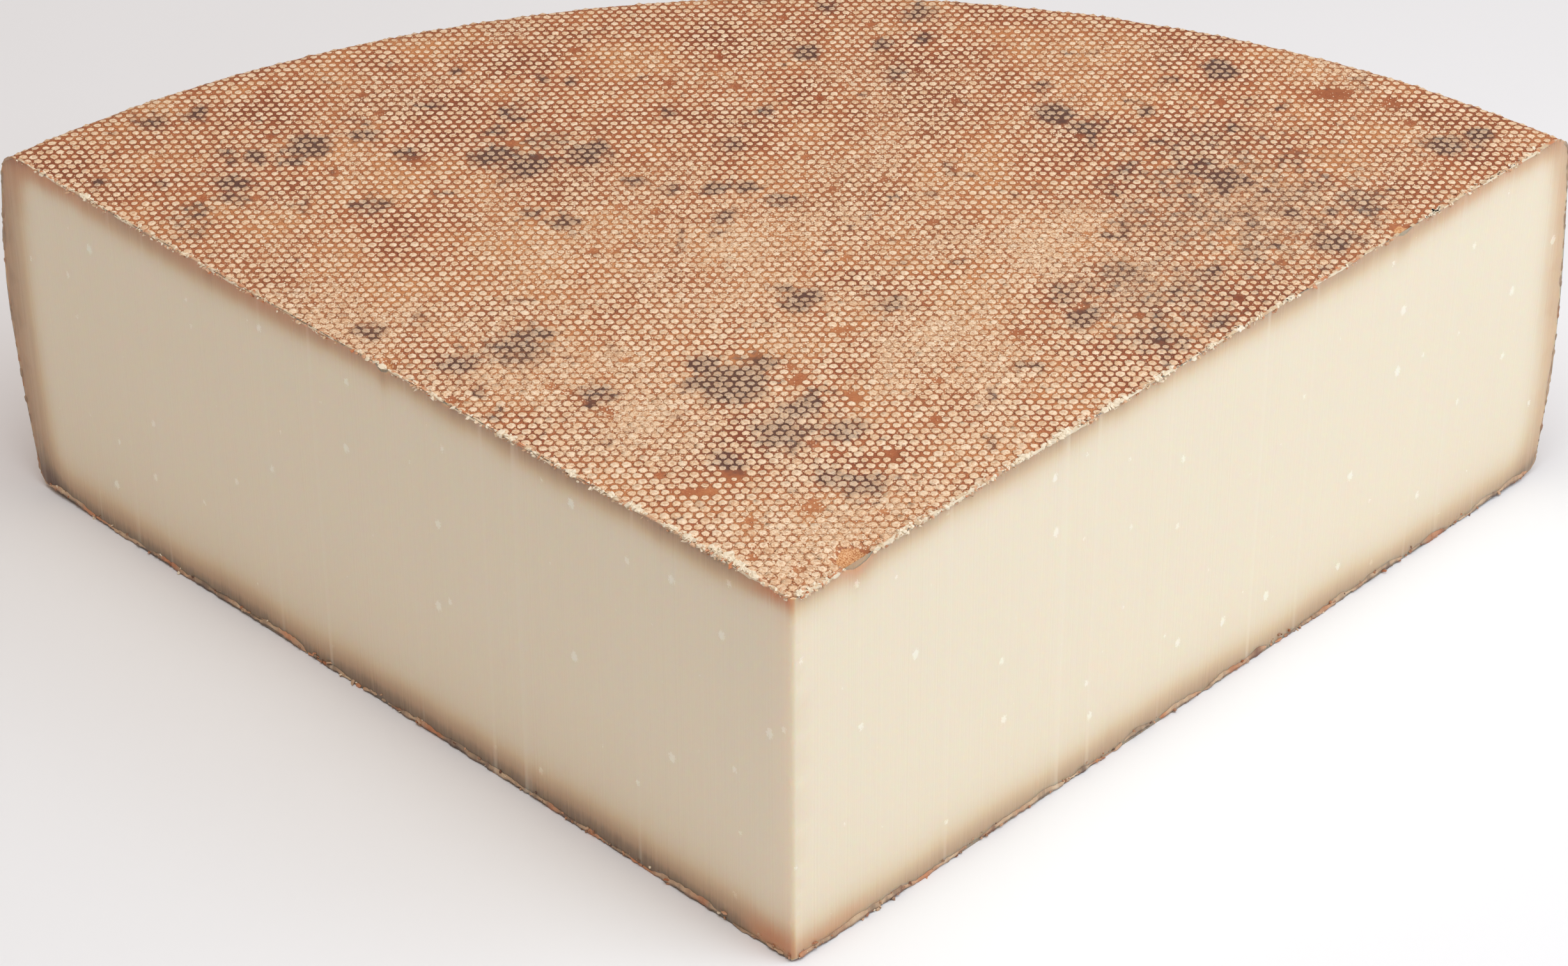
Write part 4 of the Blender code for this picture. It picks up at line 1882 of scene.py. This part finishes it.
        rough = add(RANGE, {"Value": grain, "To Min": self.roughness, "To Max": 0.6})
        tree.links.new(rough.outputs[0], shader.inputs["Roughness"])
        ridges = add(MATHS, {0: lines, 1: 0.12}, operation="MULTIPLY")
        relief = add(MATHS, {0: grain, 1: 0.04, 2: ridges}, operation="MULTIPLY_ADD")
        bump = add(BUMP, {"Height": relief, "Distance": MM, "Strength": 0.7})
        tree.links.new(bump.outputs[0], shader.inputs["Normal"])
        shader.inputs["IOR"].default_value = self.ior
        shader.inputs["Subsurface Weight"].default_value = self.see_through
        shader.inputs["Subsurface Radius"].default_value = self.light_depth
        shader.inputs["Subsurface Scale"].default_value = self.depth_size * MM
        return material


@dataclass(frozen=True)
class StudioFloor:
    """Matt white paper under the object: a plain pale surface that gives soft bounce light."""

    name: str = "matt_white_paper"
    colour: str = "#F1F4F9"
    shade: str = "#EDF0F4"
    half_size: float = 3.0  # metres

    def build(self) -> bpy.types.Object:
        """Builds the floor with its material, at the origin.

        Returns:
            The floor, for the studio to move under the object.
        """
        bench = bmesh.new()
        bmesh.ops.create_grid(bench, x_segments=8, y_segments=8, size=self.half_size)
        mesh = bpy.data.meshes.new("floor")
        bench.to_mesh(mesh)
        bench.free()
        material, tree, shader = new_material(self.name)
        fibres = add_node(tree, NOISE, {"Scale": 40.0, "Detail": 4.0})
        colour = add_node(tree, MIX, {0: fibres, 6: self.colour, 7: self.shade}, data_type="RGBA")
        tree.links.new(colour.outputs[2], shader.inputs["Base Color"])
        shader.inputs["Roughness"].default_value = 0.9
        mesh.materials.append(material)
        floor = bpy.data.objects.new("floor", mesh)
        bpy.context.scene.collection.objects.link(floor)
        return floor


@dataclass(frozen=True)
class SoftBox:
    """A square soft light aimed at the object; angles are in degrees and lengths in metres."""

    name: str
    azimuth: float  # round from the front, towards the right
    elevation: float
    distance: float
    size: float
    power: float  # watts
    colour: str = "#FFFFFF"

    def build(self, aim: Vector) -> None:
        """Builds the light, pointing at a place.

        Args:
            aim: The place, in metres.
        """
        around, up = math.radians(self.azimuth), math.radians(self.elevation)
        away = Vector(
            (math.sin(around) * math.cos(up), -math.cos(around) * math.cos(up), math.sin(up))
        )
        lamp = bpy.data.lights.new(self.name, "AREA")
        lamp.shape = "SQUARE"
        lamp.size = self.size
        lamp.energy = self.power
        lamp.color = linear(self.colour)[:3]
        light = bpy.data.objects.new(self.name, lamp)
        light.location = aim + away * self.distance
        light.rotation_mode = "QUATERNION"
        light.rotation_quaternion = away.to_track_quat("Z", "Y")
        bpy.context.scene.collection.objects.link(light)


@dataclass(frozen=True)
class Studio:
    """Plain soft studio light, a pale floor and the camera."""

    sky: str = "#FFE4CE"
    sky_strength: float = 0.32
    boxes: tuple[SoftBox, ...] = (
        SoftBox("key_box", 74.0, 40.0, 1.3, 1.0, 9.3, "#ECF7FF"),
        SoftBox("top_box", -10.0, 78.0, 2.4, 1.8, 33.0),
    )
    lens: float = 102.1  # mm, on a 36 mm sensor
    camera_distance: float = 1.132
    camera_azimuth: float = -0.331
    camera_elevation: float = 34.179
    camera_roll: float = -0.2385
    aim: tuple[float, float, float] = (-0.0014, 0.105, 0.0705)  # from the wheel's axis, in metres

    def build(self, axis: Vector) -> None:
        """Builds the studio around the object.

        Args:
            axis: Where the wheel's axis meets the floor.
        """
        scene = bpy.context.scene
        scene.view_settings.view_transform = "Standard"
        world = bpy.data.worlds.new("studio")
        world.use_nodes = True
        background = world.node_tree.nodes["Background"]
        background.inputs["Color"].default_value = linear(self.sky)
        background.inputs["Strength"].default_value = self.sky_strength
        scene.world = world
        floor = StudioFloor().build()
        floor.location = (0.0, 0.0, axis.z)
        aim = axis + Vector(self.aim)
        for box in self.boxes:
            box.build(aim)
        self.add_camera(aim)
        LOG.info("studio: floor, %d soft lights and camera", len(self.boxes))

    def add_camera(self, aim: Vector) -> None:
        """Adds the camera, aimed at a place.

        Args:
            aim: The place, in metres.
        """
        around = math.radians(self.camera_azimuth)
        up = math.radians(self.camera_elevation)
        roll = math.radians(self.camera_roll)
        back = Vector(
            (math.sin(around) * math.cos(up), -math.cos(around) * math.cos(up), math.sin(up))
        )
        right = Vector((0.0, 0.0, 1.0)).cross(back).normalized()
        above = back.cross(right)
        turned_right = right * math.cos(roll) + above * math.sin(roll)
        turned_above = above * math.cos(roll) - right * math.sin(roll)
        lens = bpy.data.cameras.new("camera")
        lens.lens = self.lens
        lens.sensor_width = 36.0
        camera = bpy.data.objects.new("camera", lens)
        turn = Matrix((turned_right, turned_above, back)).transposed()
        camera.matrix_world = Matrix.LocRotScale(aim + back * self.camera_distance, turn, None)
        bpy.context.scene.collection.objects.link(camera)
        bpy.context.scene.camera = camera


def main() -> None:
    """Builds the cheese quarter and the studio, in order."""
    logging.basicConfig(level=logging.INFO, format="%(name)s: %(message)s")
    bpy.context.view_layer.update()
    low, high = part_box(CAD_NODE)
    axis = Vector((0.0, low[1], low[2]))
    skin = WheelSkin(height=(high[2] - low[2]) / MM - 0.1, belly=(high[1] - low[1]) / MM - 0.45)
    quarter = CheeseQuarter(skin).build()
    crumbs = TornEdges(skin).build()
    for finish in (WashedRind(), BoardWornRind(), WireCutPaste()):
        quarter.data.materials.append(finish.build())
    crumbs.data.materials.append(WireCutPaste(name="smeared_paste", see_through=0.0).build())
    for piece in (quarter, crumbs):
        piece.location = axis
        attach(piece, BODY)
        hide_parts(CAD_NODE)
        log_piece(piece)
    Studio().build(axis)


if __name__ == "__main__":
    main()
